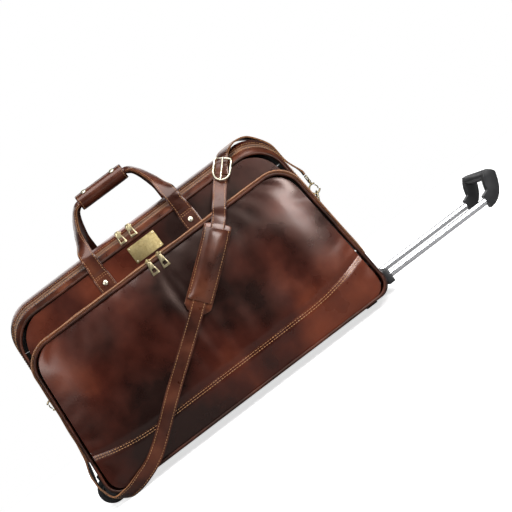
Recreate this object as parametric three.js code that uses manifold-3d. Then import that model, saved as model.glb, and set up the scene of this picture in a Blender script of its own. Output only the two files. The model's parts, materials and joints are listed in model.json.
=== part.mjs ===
// A soft leather travel bag on two wheels, with a zipped front pocket, a pair of carry handles, a buckled
// shoulder strap and a telescopic pull handle. Millimetres, +Z up. The bag lies on its base: +X is the end
// with the pull handle, -X the end with the wheels, and the pocket faces -Y.
import * as THREE from "three";
import { mergeVertices } from "three/addons/utils/BufferGeometryUtils.js";
import Module from "manifold-3d";

const wasm = await Module();
wasm.setup();

// Body
const bodyLength = 660; // at the base
const endTaper = 27; // how far each end draws in between the base and the top
const bodyDepth = 290; // at the base
const bodyTopDepth = 230;
const bodyHeight = 390; // underside of the base to the top
const baseClearance = 12; // floor to the underside of the base
const baseCorner = 26;
const topCorner = 62;
const panel = 3; // thickness of a leather panel with its lining
const edgeDrop = 26; // how far the top edge of the front panel lies below the top
const edgeSide = 8;
const gussetBand = 22; // leather band between the front panel and the main zip
const zipWidth = 18;
const zipEndHeight = 97; // both zips end at this height on the two ends
const piping = 4;
const pipingStand = 3; // how far the piping stands proud of its panel

// Front pocket
const pocketFromEnd = 14; // the ends of the pocket's base lie this far inside the ends of the body
const pocketTaper = 22;
const pocketBelowTop = 83;
const pocketDepth = 45;
const pocketTopCorner = 50;
const pocketBaseCorner = 30;
const pocketZipWidth = 14;
const seamHeight = 62; // seam of the lower pocket panel above the pocket's base, at mid length
const seamRise = 27; // how much higher that seam ends

// Wheels and foot rail
const wheelRadius = 28;
const wheelWidth = 24;
const wheelSpacing = 200; // between the middles of the two wheels
const wheelStandOut = 16; // how far a wheel stands out past the end of the body
const axleRadius = 3;
const housingWall = 4.5;
const railWidth = 24;
const railLength = 130;
const railFromEnd = 52;

// Telescopic handle
const tubeSpacing = 164;
const tubeAboveBase = 18; // axis of the tubes above the underside of the base
const innerTubeRadius = 6.8;
const outerTubeRadius = 9;
const tubeWall = 1.2;
const handleOut = 232; // bare tube between the socket and the grip when the handle is out
const tubeOverlap = 130; // inner tube still held in the outer tube when the handle is out
const gripRise = 40; // axis of the cross bar above the axis of the tubes
const gripReach = 33; // axis of the cross bar past the ends of the tubes
const gripBarRadius = 10;
const buttonTravel = 4;

// Carry handles
const handleStrapWidth = 28;
const handleStrapThickness = 3;
const handleSpacing = 196; // between the two rivets of one handle
const foldClearance = 1; // between the sewn end of a handle and the part that swings
const handleRise = 95; // middle of the grip above the top of the body
const gripWrapLength = 108;
const gripWrapRadius = 16.5;
const rivetRadius = 5;
const rivetStand = 2;
const tabHeight = 42;

// Shoulder strap
const strapWidth = 26;
const strapThickness = 3;
const padWidth = 50;
const padThickness = 8;

const nameplateWidth = 60;
const nameplateHeight = 34;

const gap = 0.3;
const runningGap = 0.4;

// Values that follow from the sizes above
const bodyTopLength = bodyLength - 2 * endTaper;
const base = baseClearance;
const top = base + bodyHeight;
const halfDepth = bodyDepth / 2;
const pocketLength = bodyLength - 2 * pocketFromEnd;
const pocketTopLength = pocketLength - 2 * pocketTaper;
const pocketFace = halfDepth + pocketDepth;
const pocketBase = base + piping + 1;
const pocketTop = top - pocketBelowTop;
const tubeHeight = base + tubeAboveBase;
const leanPerHeight = (1 - bodyTopDepth / bodyDepth) / bodyHeight;

const leather = { color: 0x4a1d12, roughness: 0.35, metalness: 0 };
const zipCloth = { color: 0x6b3a1c, roughness: 0.9, metalness: 0 };
const brass = { color: 0x9a8455, roughness: 0.4, metalness: 1 };
const chrome = { color: 0xc8c8cc, roughness: 0.15, metalness: 1 };
const blackPlastic = { color: 0x1a1a1b, roughness: 0.5, metalness: 0 };
const rubber = { color: 0x111111, roughness: 0.8, metalness: 0 };
const board = { color: 0x3a3026, roughness: 0.9, metalness: 0 };

const bagGroup = new THREE.Group();

function addPiece(name, geometry, look, parent = bagGroup) {
  const mesh = new THREE.Mesh(geometry, new THREE.MeshStandardMaterial(look));
  mesh.name = name;
  parent.add(mesh);
  return mesh;
}

// Solids and booleans

function toSolid(geometry) {
  const bare = geometry.clone();
  bare.deleteAttribute("normal");
  bare.deleteAttribute("uv");
  const merged = mergeVertices(bare, 1e-4);
  return new wasm.Manifold(
    new wasm.Mesh({
      numProp: 3,
      vertProperties: new Float32Array(merged.attributes.position.array),
      triVerts: new Uint32Array(merged.index.array),
    }),
  );
}

function toGeometry(solid) {
  const mesh = solid.getMesh();
  const geometry = new THREE.BufferGeometry();
  geometry.setAttribute("position", new THREE.BufferAttribute(mesh.vertProperties, 3));
  geometry.setIndex(new THREE.BufferAttribute(mesh.triVerts, 1));
  return geometry;
}

function cut(geometry, ...tools) {
  let solid = toSolid(geometry);
  for (const tool of tools) {
    solid = solid.subtract(toSolid(tool));
  }
  return toGeometry(solid);
}

function keep(geometry, region) {
  return toGeometry(toSolid(geometry).intersect(toSolid(region)));
}

function join(...geometries) {
  return toGeometry(geometries.map(toSolid).reduce((sum, next) => sum.add(next)));
}

// A box from its lowest corner to its highest corner.
function block(x0, x1, y0, y1, z0, z1) {
  const geometry = new THREE.BoxGeometry(x1 - x0, y1 - y0, z1 - z0);
  return geometry.translate((x0 + x1) / 2, (y0 + y1) / 2, (z0 + z1) / 2);
}

// A round bar along X, Y or Z from one end to the other.
function bar(axis, radius, from, to, a, b, sides = 16) {
  const geometry = new THREE.CylinderGeometry(radius, radius, to - from, sides);
  const middle = (from + to) / 2;
  if (axis === "x") {
    return geometry.rotateZ(-Math.PI / 2).translate(middle, a, b);
  }
  if (axis === "y") {
    return geometry.translate(a, middle, b);
  }
  return geometry.rotateX(Math.PI / 2).translate(a, b, middle);
}

// Every point on the body leans back with height, because the body is narrower at the top.
function leanY(y, z) {
  return y * (1 - leanPerHeight * (z - base));
}

function lean(geometry) {
  const position = geometry.attributes.position;
  for (let i = 0; i < position.count; i++) {
    position.setY(i, leanY(position.getY(i), position.getZ(i)));
  }
  return geometry;
}

// Outlines and lofts

const arcSteps = 5;

// A trapezoid with rounded corners, as a ring of points in the XZ plane, anticlockwise from the base.
function roundedTrapezoid({ halfBase, halfTop, low, high, baseRadius, topRadius }) {
  const corners = [
    new THREE.Vector2(-halfBase, low),
    new THREE.Vector2(halfBase, low),
    new THREE.Vector2(halfTop, high),
    new THREE.Vector2(-halfTop, high),
  ];
  const radii = [baseRadius, baseRadius, topRadius, topRadius];
  const ring = [];
  corners.forEach((corner, i) => {
    const toPrevious = corners[(i + 3) % 4].clone().sub(corner).normalize();
    const toNext = corners[(i + 1) % 4].clone().sub(corner).normalize();
    const half = Math.acos(toPrevious.dot(toNext)) / 2;
    const bisector = toPrevious.clone().add(toNext).normalize();
    const centre = corner.clone().addScaledVector(bisector, radii[i] / Math.sin(half));
    const start = Math.atan2(-bisector.y, -bisector.x) - (Math.PI / 2 - half);
    for (let s = 0; s <= arcSteps; s++) {
      const angle = start + (s / arcSteps) * (Math.PI - 2 * half);
      ring.push(
        new THREE.Vector2(centre.x + radii[i] * Math.cos(angle), centre.y + radii[i] * Math.sin(angle)),
      );
    }
  });
  return ring;
}

// A solid through a ring of points at each y, listed from the back (+Y) to the front (-Y).
function loft(ringAt, ys) {
  const first = ringAt(ys[0]);
  const geometry = new THREE.ExtrudeGeometry(new THREE.Shape(first), {
    depth: ys.length - 1,
    steps: ys.length - 1,
    bevelEnabled: false,
  });
  const rings = ys.map(ringAt);
  const position = geometry.attributes.position;
  for (let i = 0; i < position.count; i++) {
    const here = new THREE.Vector2(position.getX(i), position.getY(i));
    const index = first.findIndex((p) => p.distanceTo(here) < 1e-3);
    const station = Math.round(position.getZ(i));
    const point = rings[station][index];
    position.setXYZ(i, point.x, ys[station], point.y);
  }
  return geometry;
}

// How far the body's outline has drawn in at a depth y: its front and back edges are rounded over.
const edgeStations = [
  [0, 1],
  [gussetBand, 0.46],
  [gussetBand + zipWidth, 0.1],
  [gussetBand + zipWidth + 30, 0],
];

function edgeShare(y) {
  const fromFace = halfDepth - Math.abs(y);
  for (let i = 1; i < edgeStations.length; i++) {
    const [here, share] = edgeStations[i];
    const [before, shareBefore] = edgeStations[i - 1];
    if (fromFace <= here) {
      return shareBefore + ((share - shareBefore) * (fromFace - before)) / (here - before);
    }
  }
  return 0;
}

function bodyRing(inset) {
  return (y) => {
    const share = edgeShare(y);
    const side = share * edgeSide + inset;
    return roundedTrapezoid({
      halfBase: bodyLength / 2 - side,
      halfTop: bodyTopLength / 2 - side,
      low: base + inset,
      high: top - share * edgeDrop - inset,
      baseRadius: baseCorner - inset,
      topRadius: topCorner - inset,
    });
  };
}

// The same outline at the face of the front or back panel.
function faceRing(inset) {
  return () => bodyRing(inset)(halfDepth);
}

function pocketRing(inset) {
  return () =>
    roundedTrapezoid({
      halfBase: pocketLength / 2 - inset,
      halfTop: pocketTopLength / 2 - inset,
      low: pocketBase + inset,
      high: pocketTop - inset,
      baseRadius: pocketBaseCorner - inset,
      topRadius: pocketTopCorner - inset,
    });
}

// Depths between two faces, from back to front, with every edge station that lies between them.
function depths(back, front) {
  const marks = edgeStations.flatMap(([fromFace]) => [halfDepth - fromFace, fromFace - halfDepth]);
  const between = marks.filter((y) => y < back - 0.5 && y > front + 0.5).sort((a, b) => b - a);
  return [back, ...between, front];
}

function bodyHoop(back, front, thickness = panel) {
  return cut(
    loft(bodyRing(0), depths(back, front)),
    loft(bodyRing(thickness), depths(back + 1, front - 1)),
  );
}

function pocketHoop(back, front, thickness = panel, outerInset = 0) {
  return cut(
    loft(pocketRing(outerInset), [back, front]),
    loft(pocketRing(outerInset + thickness), [back + 1, front - 1]),
  );
}

const far = 1000;
const above = (z) => block(-far, far, -far, far, z, far);
const below = (z) => block(-far, far, -far, far, -far, z);

// Half length of the body's outline at a height, on the straight part of its ends.
function endAt(z) {
  return bodyLength / 2 - ((bodyLength - bodyTopLength) / 2) * ((z - base) / bodyHeight);
}

// Body shell

const bandBack = -halfDepth + gussetBand;
const zipBack = bandBack + zipWidth;
const shoulder = top - topCorner - edgeDrop / 2;
const faceBack = halfDepth - panel - gap;

const socketDepth = 14;
const socketHalfWidth = tubeSpacing / 2 + 22;
const socketHalfHeight = 14;
const socketInner = bodyLength / 2 - 6;
const wheelX = -bodyLength / 2 - wheelStandOut + wheelRadius;
const wheelSideGap = 1.5;
const housingHalf = wheelWidth / 2 + wheelSideGap + housingWall;
const housingTop = wheelRadius * 2 + 8;
const housingInner = wheelX + wheelRadius + 7;

function housingSpace(y, grow) {
  return block(
    -far,
    housingInner + grow,
    y - housingHalf - grow,
    y + housingHalf + grow,
    -far,
    housingTop + grow,
  );
}

function makeShell() {
  addPiece("front_panel", lean(loft(faceRing(piping + gap), [-halfDepth + panel, -halfDepth])), leather);
  addPiece("back_panel", lean(loft(faceRing(piping + gap), [halfDepth, halfDepth - panel])), leather);

  for (const [name, face] of [["front", -1], ["back", 1]]) {
    const ys = [face * (halfDepth + pipingStand), face * (halfDepth - panel)].sort((a, b) => b - a);
    const wide = [ys[0] + 1, ys[1] - 1];
    addPiece(name + "_piping", lean(cut(loft(faceRing(0), ys), loft(faceRing(piping), wide))), leather);
  }

  const band = bodyHoop(bandBack, -faceBack);
  addPiece("top_front_band", lean(keep(band, above(zipEndHeight + gap))), leather);

  const zip = bodyHoop(zipBack, bandBack + gap);
  addPiece("main_zip_tape", lean(keep(zip, above(zipEndHeight + gap))), zipCloth);

  const hoop = bodyHoop(faceBack, zipBack + gap);
  addPiece("top_panel", lean(keep(hoop, above(shoulder + gap))), leather);
  const ends = keep(keep(hoop, above(zipEndHeight + gap)), below(shoulder));
  addPiece("wheel_end_panel", lean(keep(ends, block(-far, 0, -far, far, -far, far))), leather);
  addPiece("handle_end_panel", lean(keep(ends, block(0, far, -far, far, -far, far))), leather);

  const tub = keep(bodyHoop(faceBack, -faceBack), below(zipEndHeight));
  const socketSpace = block(
    socketInner - baseCorner,
    far,
    -socketHalfWidth - gap,
    socketHalfWidth + gap,
    tubeHeight - socketHalfHeight - gap,
    tubeHeight + socketHalfHeight + gap,
  );
  const wheelSpaces = [-1, 1].map((side) => housingSpace((side * wheelSpacing) / 2, gap));
  addPiece("base_panel", cut(lean(tub), socketSpace, ...wheelSpaces), leather);

  const boardHeight = housingTop + 2;
  const boardHalf = endAt(boardHeight) - edgeSide - panel - 1;
  addPiece(
    "base_board",
    block(
      -boardHalf,
      boardHalf,
      -halfDepth + 14,
      halfDepth - 14,
      boardHeight,
      boardHeight + 3,
    ),
    board,
  );
}

// Front pocket

// Height of the seam between the two pocket panels at a distance from mid length.
function seamAt(x) {
  const share = Math.max(0, (Math.abs(x) / (pocketLength / 2) - 0.5) / 0.5);
  return pocketBase + seamHeight + seamRise * share * share;
}

// The part of the pocket's face under the seam, as a solid that reaches well past the pocket.
function underSeam(lift) {
  const shape = new THREE.Shape();
  const steps = 12;
  const reach = pocketLength / 2 + 20;
  shape.moveTo(-reach, -far);
  shape.lineTo(reach, -far);
  for (let i = 0; i <= steps; i++) {
    const x = reach - (2 * reach * i) / steps;
    shape.lineTo(x, seamAt(x) + lift);
  }
  const depth = 60;
  return new THREE.ExtrudeGeometry(shape, { depth, bevelEnabled: false })
    .rotateX(Math.PI / 2)
    .translate(0, -pocketFace + depth / 2, 0);
}

const pocketZipFront = -pocketFace + 6;
const pocketZipBack = pocketZipFront + pocketZipWidth;

function makePocket() {
  const gusset = pocketHoop(-halfDepth - gap, pocketZipFront);
  const zipSpace = block(-far, far, pocketZipFront - 1, pocketZipBack + gap, zipEndHeight - gap, far);
  addPiece("pocket_gusset", lean(cut(gusset, zipSpace)), leather);

  const zip = pocketHoop(pocketZipBack, pocketZipFront);
  addPiece("pocket_zip_tape", lean(keep(zip, above(zipEndHeight))), zipCloth);

  addPiece("pocket_piping", lean(pocketHoop(pocketZipFront - gap, -pocketFace - 1, piping)), leather);

  const face = loft(pocketRing(piping + gap), [-pocketFace + panel, -pocketFace]);
  addPiece("pocket_panel", lean(cut(face, underSeam(gap))), leather);
  addPiece("pocket_lower_panel", lean(keep(face, underSeam(0))), leather);
}

// Zip sliders and pulls. A slider sits on the tape, and its pull hangs in front of the panel below.

const sliderLength = 14;
const sliderWidth = 10;
const sliderHeight = 5;
const pullLength = 26;
const pullThickness = 2;

function pullShape() {
  const shape = new THREE.Shape();
  shape.moveTo(-4, 0);
  shape.lineTo(-7.5, -pullLength);
  shape.lineTo(7.5, -pullLength);
  shape.lineTo(4, 0);
  const hole = new THREE.Path();
  hole.moveTo(-4, -pullLength + 4);
  hole.lineTo(-3.5, -pullLength + 12);
  hole.lineTo(3.5, -pullLength + 12);
  hole.lineTo(4, -pullLength + 4);
  shape.holes.push(hole);
  return shape;
}

// One slider with its pull: x along the zip, the slider's middle at (y, z), and the tilt of the tape there.
function makeSlider(name, x, y, z, tapeTilt, pullY, pullZ, pullTilt) {
  const slider = addPiece(
    name + "_slider",
    new THREE.BoxGeometry(sliderLength, sliderWidth, sliderHeight),
    brass,
  );
  slider.position.set(x, y, z);
  slider.rotation.x = tapeTilt;
  const pull = addPiece(
    name + "_pull",
    new THREE.ExtrudeGeometry(pullShape(), { depth: pullThickness, bevelEnabled: false })
      .translate(0, 0, -pullThickness / 2)
      .rotateX(Math.PI / 2),
    brass,
  );
  pull.position.set(x, pullY, pullZ);
  pull.rotation.x = pullTilt;
}

const sliderHalfPitch = 12;
const sliderLift = 0.6; // the slider's underside above the top of the tape
const tiltLift = 1; // more for the main zip, whose tape slopes
const mainSlidersX = -15; // the main sliders meet a little nearer the wheels than mid length
const mainPullOut = 2.6; // the main pulls hang this far in front of the piping
const mainPullTilt = -0.1;
const mainPullRise = 1;
const pocketPullRise = 2;

function makeZipHardware() {
  const zipMiddle = -halfDepth + gussetBand + zipWidth / 2;
  const zipTop = top - edgeDrop * edgeShare(zipMiddle);
  const slope = (edgeDrop * (edgeShare(bandBack) - edgeShare(zipBack))) / zipWidth;
  const mainTilt = Math.atan(slope);
  for (const [name, side] of [["main_left", -1], ["main_right", 1]]) {
    makeSlider(
      name,
      mainSlidersX + side * sliderHalfPitch,
      leanY(zipMiddle, zipTop) - Math.sin(mainTilt) * (sliderHeight - 1),
      zipTop + sliderHeight / 2 + sliderLift + tiltLift,
      mainTilt,
      leanY(-halfDepth - pipingStand, top - edgeDrop) - mainPullOut,
      top + mainPullRise,
      mainPullTilt,
    );
  }
  const pocketZipMiddle = (pocketZipFront + pocketZipBack) / 2;
  for (const [name, side] of [["pocket_left", -1], ["pocket_right", 1]]) {
    makeSlider(
      name,
      side * sliderHalfPitch,
      leanY(pocketZipMiddle, pocketTop),
      pocketTop + sliderHeight / 2 + sliderLift,
      0,
      leanY(-pocketFace - 1, pocketTop - pullLength) - pullThickness,
      pocketTop + pocketPullRise,
      0,
    );
  }
}

// Straps: a flat band that follows a curve, with a face direction and a size at each of its points.

function ribbon(stops, segments, width, thickness) {
  const knots = stops.map((s) => new THREE.Vector3(...s.at));
  const path = new THREE.CatmullRomCurve3(knots, false, "centripetal");
  const faces = stops.map((s) => new THREE.Vector3(...s.face).normalize());
  const sizes = stops.map((s) => s.size ?? [width, thickness]);
  const geometry = new THREE.BoxGeometry(1, 1, 1, segments, 1, 1);
  const position = geometry.attributes.position;
  for (let i = 0; i < position.count; i++) {
    const along = THREE.MathUtils.clamp(position.getX(i) + 0.5, 0, 1);
    const centre = path.getPoint(along);
    const tangent = path.getTangent(along);
    const span = along * (stops.length - 1);
    const k = Math.min(Math.floor(span), stops.length - 2);
    const blend = span - k;
    const face = faces[k].clone().lerp(faces[k + 1], blend).normalize();
    const side = face.clone().cross(tangent).normalize();
    const normal = tangent.clone().cross(side).normalize();
    const wide = THREE.MathUtils.lerp(sizes[k][0], sizes[k + 1][0], blend);
    const thick = THREE.MathUtils.lerp(sizes[k][1], sizes[k + 1][1], blend);
    const point = centre
      .addScaledVector(side, position.getY(i) * wide)
      .addScaledVector(normal, position.getZ(i) * thick);
    position.setXYZ(i, point.x, point.y, point.z);
  }
  return geometry;
}

// Carry handles

const gripHeight = top + handleRise;
const tabBase = pocketTop + 4;
const sewLine = tabBase + tabHeight;
const foldedStrap = [12, 6]; // each strap is folded lengthways inside the grip
const tabExtra = 2; // a sewn end is wider than its strap by this much on each side
const rivetAboveTab = 14;
const strapOut = 0.8; // clearance between the swinging strap and the piping

function makeCarryHandles() {
  for (const [name, face] of [["front", -1], ["back", 1]]) {
    const panelY = halfDepth + gap;
    for (const [hand, side] of [["left", -1], ["right", 1]]) {
      const x = (side * handleSpacing) / 2;
      const half = handleStrapWidth / 2 + tabExtra;
      const outer = panelY + handleStrapThickness;
      const ys = [face * panelY, face * outer].sort((a, b) => a - b);
      const tab = block(x - half, x + half, ys[0], ys[1], tabBase, sewLine - gap);
      const rivet = bar(
        "y",
        rivetRadius,
        Math.min(face * (outer - 1), face * (outer + rivetStand)),
        Math.max(face * (outer - 1), face * (outer + rivetStand)),
        x,
        tabBase + rivetAboveTab,
      );
      addPiece(`${name}_handle_tab_${hand}`, lean(join(tab, rivet)), leather);
    }
    const hingeY = leanY(halfDepth + pipingStand + strapOut + handleStrapThickness / 2, sewLine);
    const overEdge = sewLine + 34;
    const legs = [
      { at: [handleSpacing / 2, hingeY, sewLine + foldClearance], face: [0, 1, 0] },
      { at: [handleSpacing / 2 - 1, hingeY - 1, overEdge], face: [0, 1, 0.2] },
      { at: [handleSpacing / 2 - 8, hingeY - 48, gripHeight - 52], face: [0.75, 0.6, 0.35] },
      { at: [handleSpacing / 2 - 25, 26, gripHeight - 14], face: [0.75, 0.15, 0.65] },
      { at: [gripWrapLength / 2 + 4, 8.4, gripHeight - 0.5], face: [0.1, 0, 1], size: foldedStrap },
      { at: [gripWrapLength / 2 - 6, 7.9, gripHeight], face: [0, 0, 1], size: foldedStrap },
    ];
    const flip = (s, x, y) => ({
      ...s,
      at: [x * s.at[0], y * s.at[1], s.at[2]],
      face: [x * s.face[0], y * s.face[1], s.face[2]],
    });
    const strap = [
      ...legs.map((s) => flip(s, 1, face)),
      ...legs.toReversed().map((s) => flip(s, -1, face)),
    ];
    addPiece(
      name + "_handle_strap",
      ribbon(strap, 44, handleStrapWidth, handleStrapThickness),
      leather,
    );

    const halfWrap = keep(
      bar("x", gripWrapRadius, -gripWrapLength / 2, gripWrapLength / 2, 0, gripHeight, 20),
      face < 0 ? block(-far, far, -far, -gap / 2, 0, far) : block(-far, far, gap / 2, far, 0, far),
    );
    const channelHalf = foldedStrap[1] / 2 + 0.6;
    const channelDepth = foldedStrap[0] + 2;
    const channel = block(
      -far,
      far,
      face < 0 ? -channelDepth : -1,
      face < 0 ? 1 : channelDepth,
      gripHeight - channelHalf,
      gripHeight + channelHalf,
    );
    addPiece(name + "_grip_wrap", cut(halfWrap, channel), leather);
  }
}

// Name plate, blank

const nameplateThickness = 1.5;
const nameplateAboveTab = 9;

function makeNameplate() {
  const low = tabBase + nameplateAboveTab;
  addPiece(
    "name_plate",
    lean(
      block(
        -nameplateWidth / 2,
        nameplateWidth / 2,
        -halfDepth - gap - nameplateThickness,
        -halfDepth - gap,
        low,
        low + nameplateHeight,
      ),
    ),
    brass,
  );
}

// Rings, hooks and gates at the two ends. They are drawn for an end at x = 0 that faces +X, with the ring
// hanging towards -Z from its tab, and are mirrored into place.

const ringHalf = 17;
const ringWire = 3.5;
const ringThickness = 2.5;
const ringDrop = 13; // the straight bar of the ring to the middle of its round
const ringTilt = 0.42; // the ring hangs clear of the bag
const ringBarOut = 4;
const hookInner = 8.5;
const hookOuter = 12;
const hookThickness = 4;
const hookEyeDrop = 32; // the middle of the hook's round to the far side of its strap eye
const ringFar = ringDrop + ringHalf - ringWire / 2;
const hookX = ringBarOut + Math.sin(ringTilt) * ringFar;
const hookDrop = Math.cos(ringTilt) * ringFar + hookInner - 2.7;
const gateFrom = -0.9;
const gateTo = 0.65;
const gateLap = 0.1; // how far the tip of the gate lies behind the nose of the hook
const gateThickness = 2.3;
const ringTabLength = 34;
const ringTabThickness = 4.85;
const ringSlot = 2.3; // half the width of the slot that the ring's bar lies in
const shankHalf = 3;
const eyeWall = 2.6;
const eyeSlack = 0.6;

function ringShape() {
  const inner = ringHalf - ringWire;
  const shape = new THREE.Shape();
  shape.moveTo(-ringHalf, ringWire / 2);
  shape.lineTo(-ringHalf, -ringDrop);
  shape.absarc(0, -ringDrop, ringHalf, Math.PI, 2 * Math.PI);
  shape.lineTo(ringHalf, ringWire / 2);
  const hole = new THREE.Path();
  hole.moveTo(-inner, -ringWire / 2);
  hole.lineTo(-inner, -ringDrop);
  hole.absarc(0, -ringDrop, inner, Math.PI, 2 * Math.PI);
  hole.lineTo(inner, -ringWire / 2);
  shape.holes.push(hole);
  return shape;
}

// Part of a flat round ring in the XZ plane, between two angles.
function roundPart(inner, outer, from, to, thickness) {
  const shape = new THREE.Shape();
  shape.absarc(0, 0, outer, from, to);
  shape.absarc(0, 0, inner, to, from, true);
  return new THREE.ExtrudeGeometry(shape, { depth: thickness, bevelEnabled: false, curveSegments: 10 })
    .translate(0, 0, -thickness / 2)
    .rotateX(Math.PI / 2);
}

function makeEndHardware(name, { side, hang, barHeight }) {
  const group = new THREE.Group();
  bagGroup.add(group);
  group.position.set(side * endAt(barHeight), 0, barHeight);
  group.scale.set(side, 1, hang);

  const clear = gap + Math.max(0, endAt(barHeight - ringTabLength) - endAt(barHeight));
  const tabHalf = ringHalf - ringWire - gap;
  const tab = block(clear, clear + ringTabThickness, -tabHalf, tabHalf, -ringBarOut, ringTabLength);
  const slot = block(ringBarOut - 2, ringBarOut + 2, -far, far, -ringSlot, ringSlot);
  addPiece(name + "_ring_tab", cut(tab, slot), leather, group);

  const ring = addPiece(
    name + "_d_ring",
    new THREE.ExtrudeGeometry(ringShape(), { depth: ringThickness, bevelEnabled: false, curveSegments: 8 })
      .translate(0, 0, -ringThickness / 2)
      .rotateX(Math.PI / 2)
      .rotateZ(Math.PI / 2),
    brass,
    group,
  );
  ring.position.set(ringBarOut, 0, 0);
  ring.rotation.y = -ringTilt;

  const eyeInner = strapWidth / 2 + eyeSlack;
  const eyeOuter = eyeInner + eyeWall;
  const hook = addPiece(
    name + "_hook",
    join(
      roundPart(hookInner, hookOuter, gateTo - gateLap, 2 * Math.PI + gateFrom, hookThickness),
      block(-shankHalf, shankHalf, -hookThickness / 2, hookThickness / 2, -hookOuter - 9, -hookInner - 1),
      cut(
        block(-shankHalf, shankHalf, -eyeOuter, eyeOuter, -hookEyeDrop, -hookOuter - 7),
        block(-far, far, -eyeInner, eyeInner, -hookEyeDrop + 3, -hookOuter - 10),
      ),
    ),
    brass,
    group,
  );
  hook.position.set(hookX, 0, -hookDrop);
  const gate = addPiece(
    name + "_hook_gate",
    roundPart(hookInner - gap - gateThickness, hookInner - gap, gateFrom, gateTo, hookThickness - 1),
    brass,
    group,
  );
  gate.position.copy(hook.position);
}

// Pull handle

const socketOuter = socketInner + socketDepth;
const tubeEnd = socketOuter + handleOut;

function tube(radius, wall, from, to, y) {
  return cut(
    bar("x", radius, from, to, y, tubeHeight),
    bar("x", radius - wall, from - 1, to + 1, y, tubeHeight),
  );
}

const anchorLength = 16;
const anchorHalfHeight = 13;
const armHalf = 11; // half the width of each arm of the grip
const armBelow = 15; // the foot of an arm, below and above the axis of its tube
const armAbove = 11;
const buttonHalf = 24;
const buttonHalfHeight = 5;

function makePullHandle() {
  const anchorInner = housingInner + 20;
  const outerEnd = socketInner - gap;
  addPiece(
    "tube_anchor",
    block(
      anchorInner - anchorLength,
      anchorInner - gap,
      -socketHalfWidth,
      socketHalfWidth,
      tubeHeight - anchorHalfHeight,
      tubeHeight + anchorHalfHeight,
    ),
    blackPlastic,
  );
  const holes = [];
  for (const [name, side] of [["front", -1], ["back", 1]]) {
    const y = (side * tubeSpacing) / 2;
    addPiece(name + "_outer_tube", tube(outerTubeRadius, tubeWall, anchorInner, outerEnd, y), chrome);
    addPiece(
      name + "_inner_tube",
      tube(innerTubeRadius, tubeWall, outerEnd - tubeOverlap, tubeEnd, y),
      chrome,
    );
    holes.push(bar("x", innerTubeRadius + runningGap, -far, far, y, tubeHeight));
  }
  addPiece(
    "handle_socket",
    cut(
      block(
        socketInner,
        socketOuter,
        -socketHalfWidth,
        socketHalfWidth,
        tubeHeight - socketHalfHeight,
        tubeHeight + socketHalfHeight,
      ),
      ...holes,
    ),
    blackPlastic,
  );

  const barX = tubeEnd + gripReach;
  const barZ = tubeHeight + gripRise;
  const armShape = new THREE.Shape();
  armShape.moveTo(gap, -armBelow);
  armShape.quadraticCurveTo(gripReach, 1 - armBelow, gripReach + gripBarRadius + 4, gripRise - 4);
  const nose = [gripReach + gripBarRadius, gripRise + 8];
  armShape.quadraticCurveTo(...nose, gripReach - 4, gripRise + gripBarRadius);
  armShape.quadraticCurveTo(gripReach - 16, gripRise - 4, gripReach - 20, 16);
  armShape.lineTo(gap, armAbove);
  const arm = (y) =>
    new THREE.ExtrudeGeometry(armShape, { depth: 2 * armHalf, bevelEnabled: false, curveSegments: 6 })
      .rotateX(Math.PI / 2)
      .translate(tubeEnd, y + armHalf, tubeHeight);
  const crossBar = bar("y", gripBarRadius, -tubeSpacing / 2, tubeSpacing / 2, barX, barZ);
  const wellHalf = buttonHalf + gap;
  const wellHalfHeight = buttonHalfHeight + gap;
  const well = block(barX, far, -wellHalf, wellHalf, barZ - wellHalfHeight, barZ + wellHalfHeight);
  addPiece(
    "pull_grip",
    cut(join(arm(-tubeSpacing / 2), arm(tubeSpacing / 2), crossBar), well),
    blackPlastic,
  );
  addPiece(
    "release_button",
    block(
      barX + buttonTravel + 1,
      barX + gripBarRadius + 2,
      -buttonHalf,
      buttonHalf,
      barZ - buttonHalfHeight,
      barZ + buttonHalfHeight,
    ),
    blackPlastic,
  );
}

// Wheels, their housings and the axle they share, and the rail that the other end rests on

const wheelRimGap = 2.5;

function makeRunningGear() {
  const hole = bar("y", axleRadius + gap, -far, far, wheelX, wheelRadius, 12);
  for (const [name, side] of [["front", -1], ["back", 1]]) {
    const y = (side * wheelSpacing) / 2;
    const housing = block(
      -bodyLength / 2 + 2,
      housingInner,
      y - housingHalf,
      y + housingHalf,
      base + 1,
      housingTop,
    );
    const wheelSpace = bar(
      "y",
      wheelRadius + wheelRimGap,
      y - wheelWidth / 2 - wheelSideGap,
      y + wheelWidth / 2 + wheelSideGap,
      wheelX,
      wheelRadius,
      24,
    );
    addPiece(name + "_wheel_housing", cut(housing, wheelSpace, hole), blackPlastic);
    const tyre = bar("y", wheelRadius, y - wheelWidth / 2, y + wheelWidth / 2, wheelX, wheelRadius, 32);
    addPiece(name + "_wheel", cut(tyre, hole), rubber);
  }
  const axleHalf = wheelSpacing / 2 + housingHalf;
  addPiece("wheel_axle", bar("y", axleRadius, -axleHalf, axleHalf, wheelX, wheelRadius, 12), chrome);

  const railX = bodyLength / 2 - railFromEnd;
  addPiece(
    "foot_rail",
    block(railX - railWidth / 2, railX + railWidth / 2, -railLength / 2, railLength / 2, 0, base - gap),
    rubber,
  );
}

// Shoulder strap: the long part crosses the front and goes under the pocket's corner to the wheel end, and
// the short part goes over the top to the handle end. The buckle joins them.

const wheelRingShare = 0.6026; // height of each ring's bar, as a share of the height of the body
const handleRingShare = 0.5205;
const wheelRingHeight = base + wheelRingShare * bodyHeight;
const handleRingHeight = base + handleRingShare * bodyHeight;
const buckleLength = 46;
const buckleWidth = 36;
const buckleWire = 4;
const buckleThickness = 3;
const buckleOut = 12; // the middle of the buckle stands out this far from the strap's end
const buckleLean = 0.3;
const prongRadius = 1.5;
const prongEnd = 0.8; // how far the prong reaches past the bar that it turns on

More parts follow.
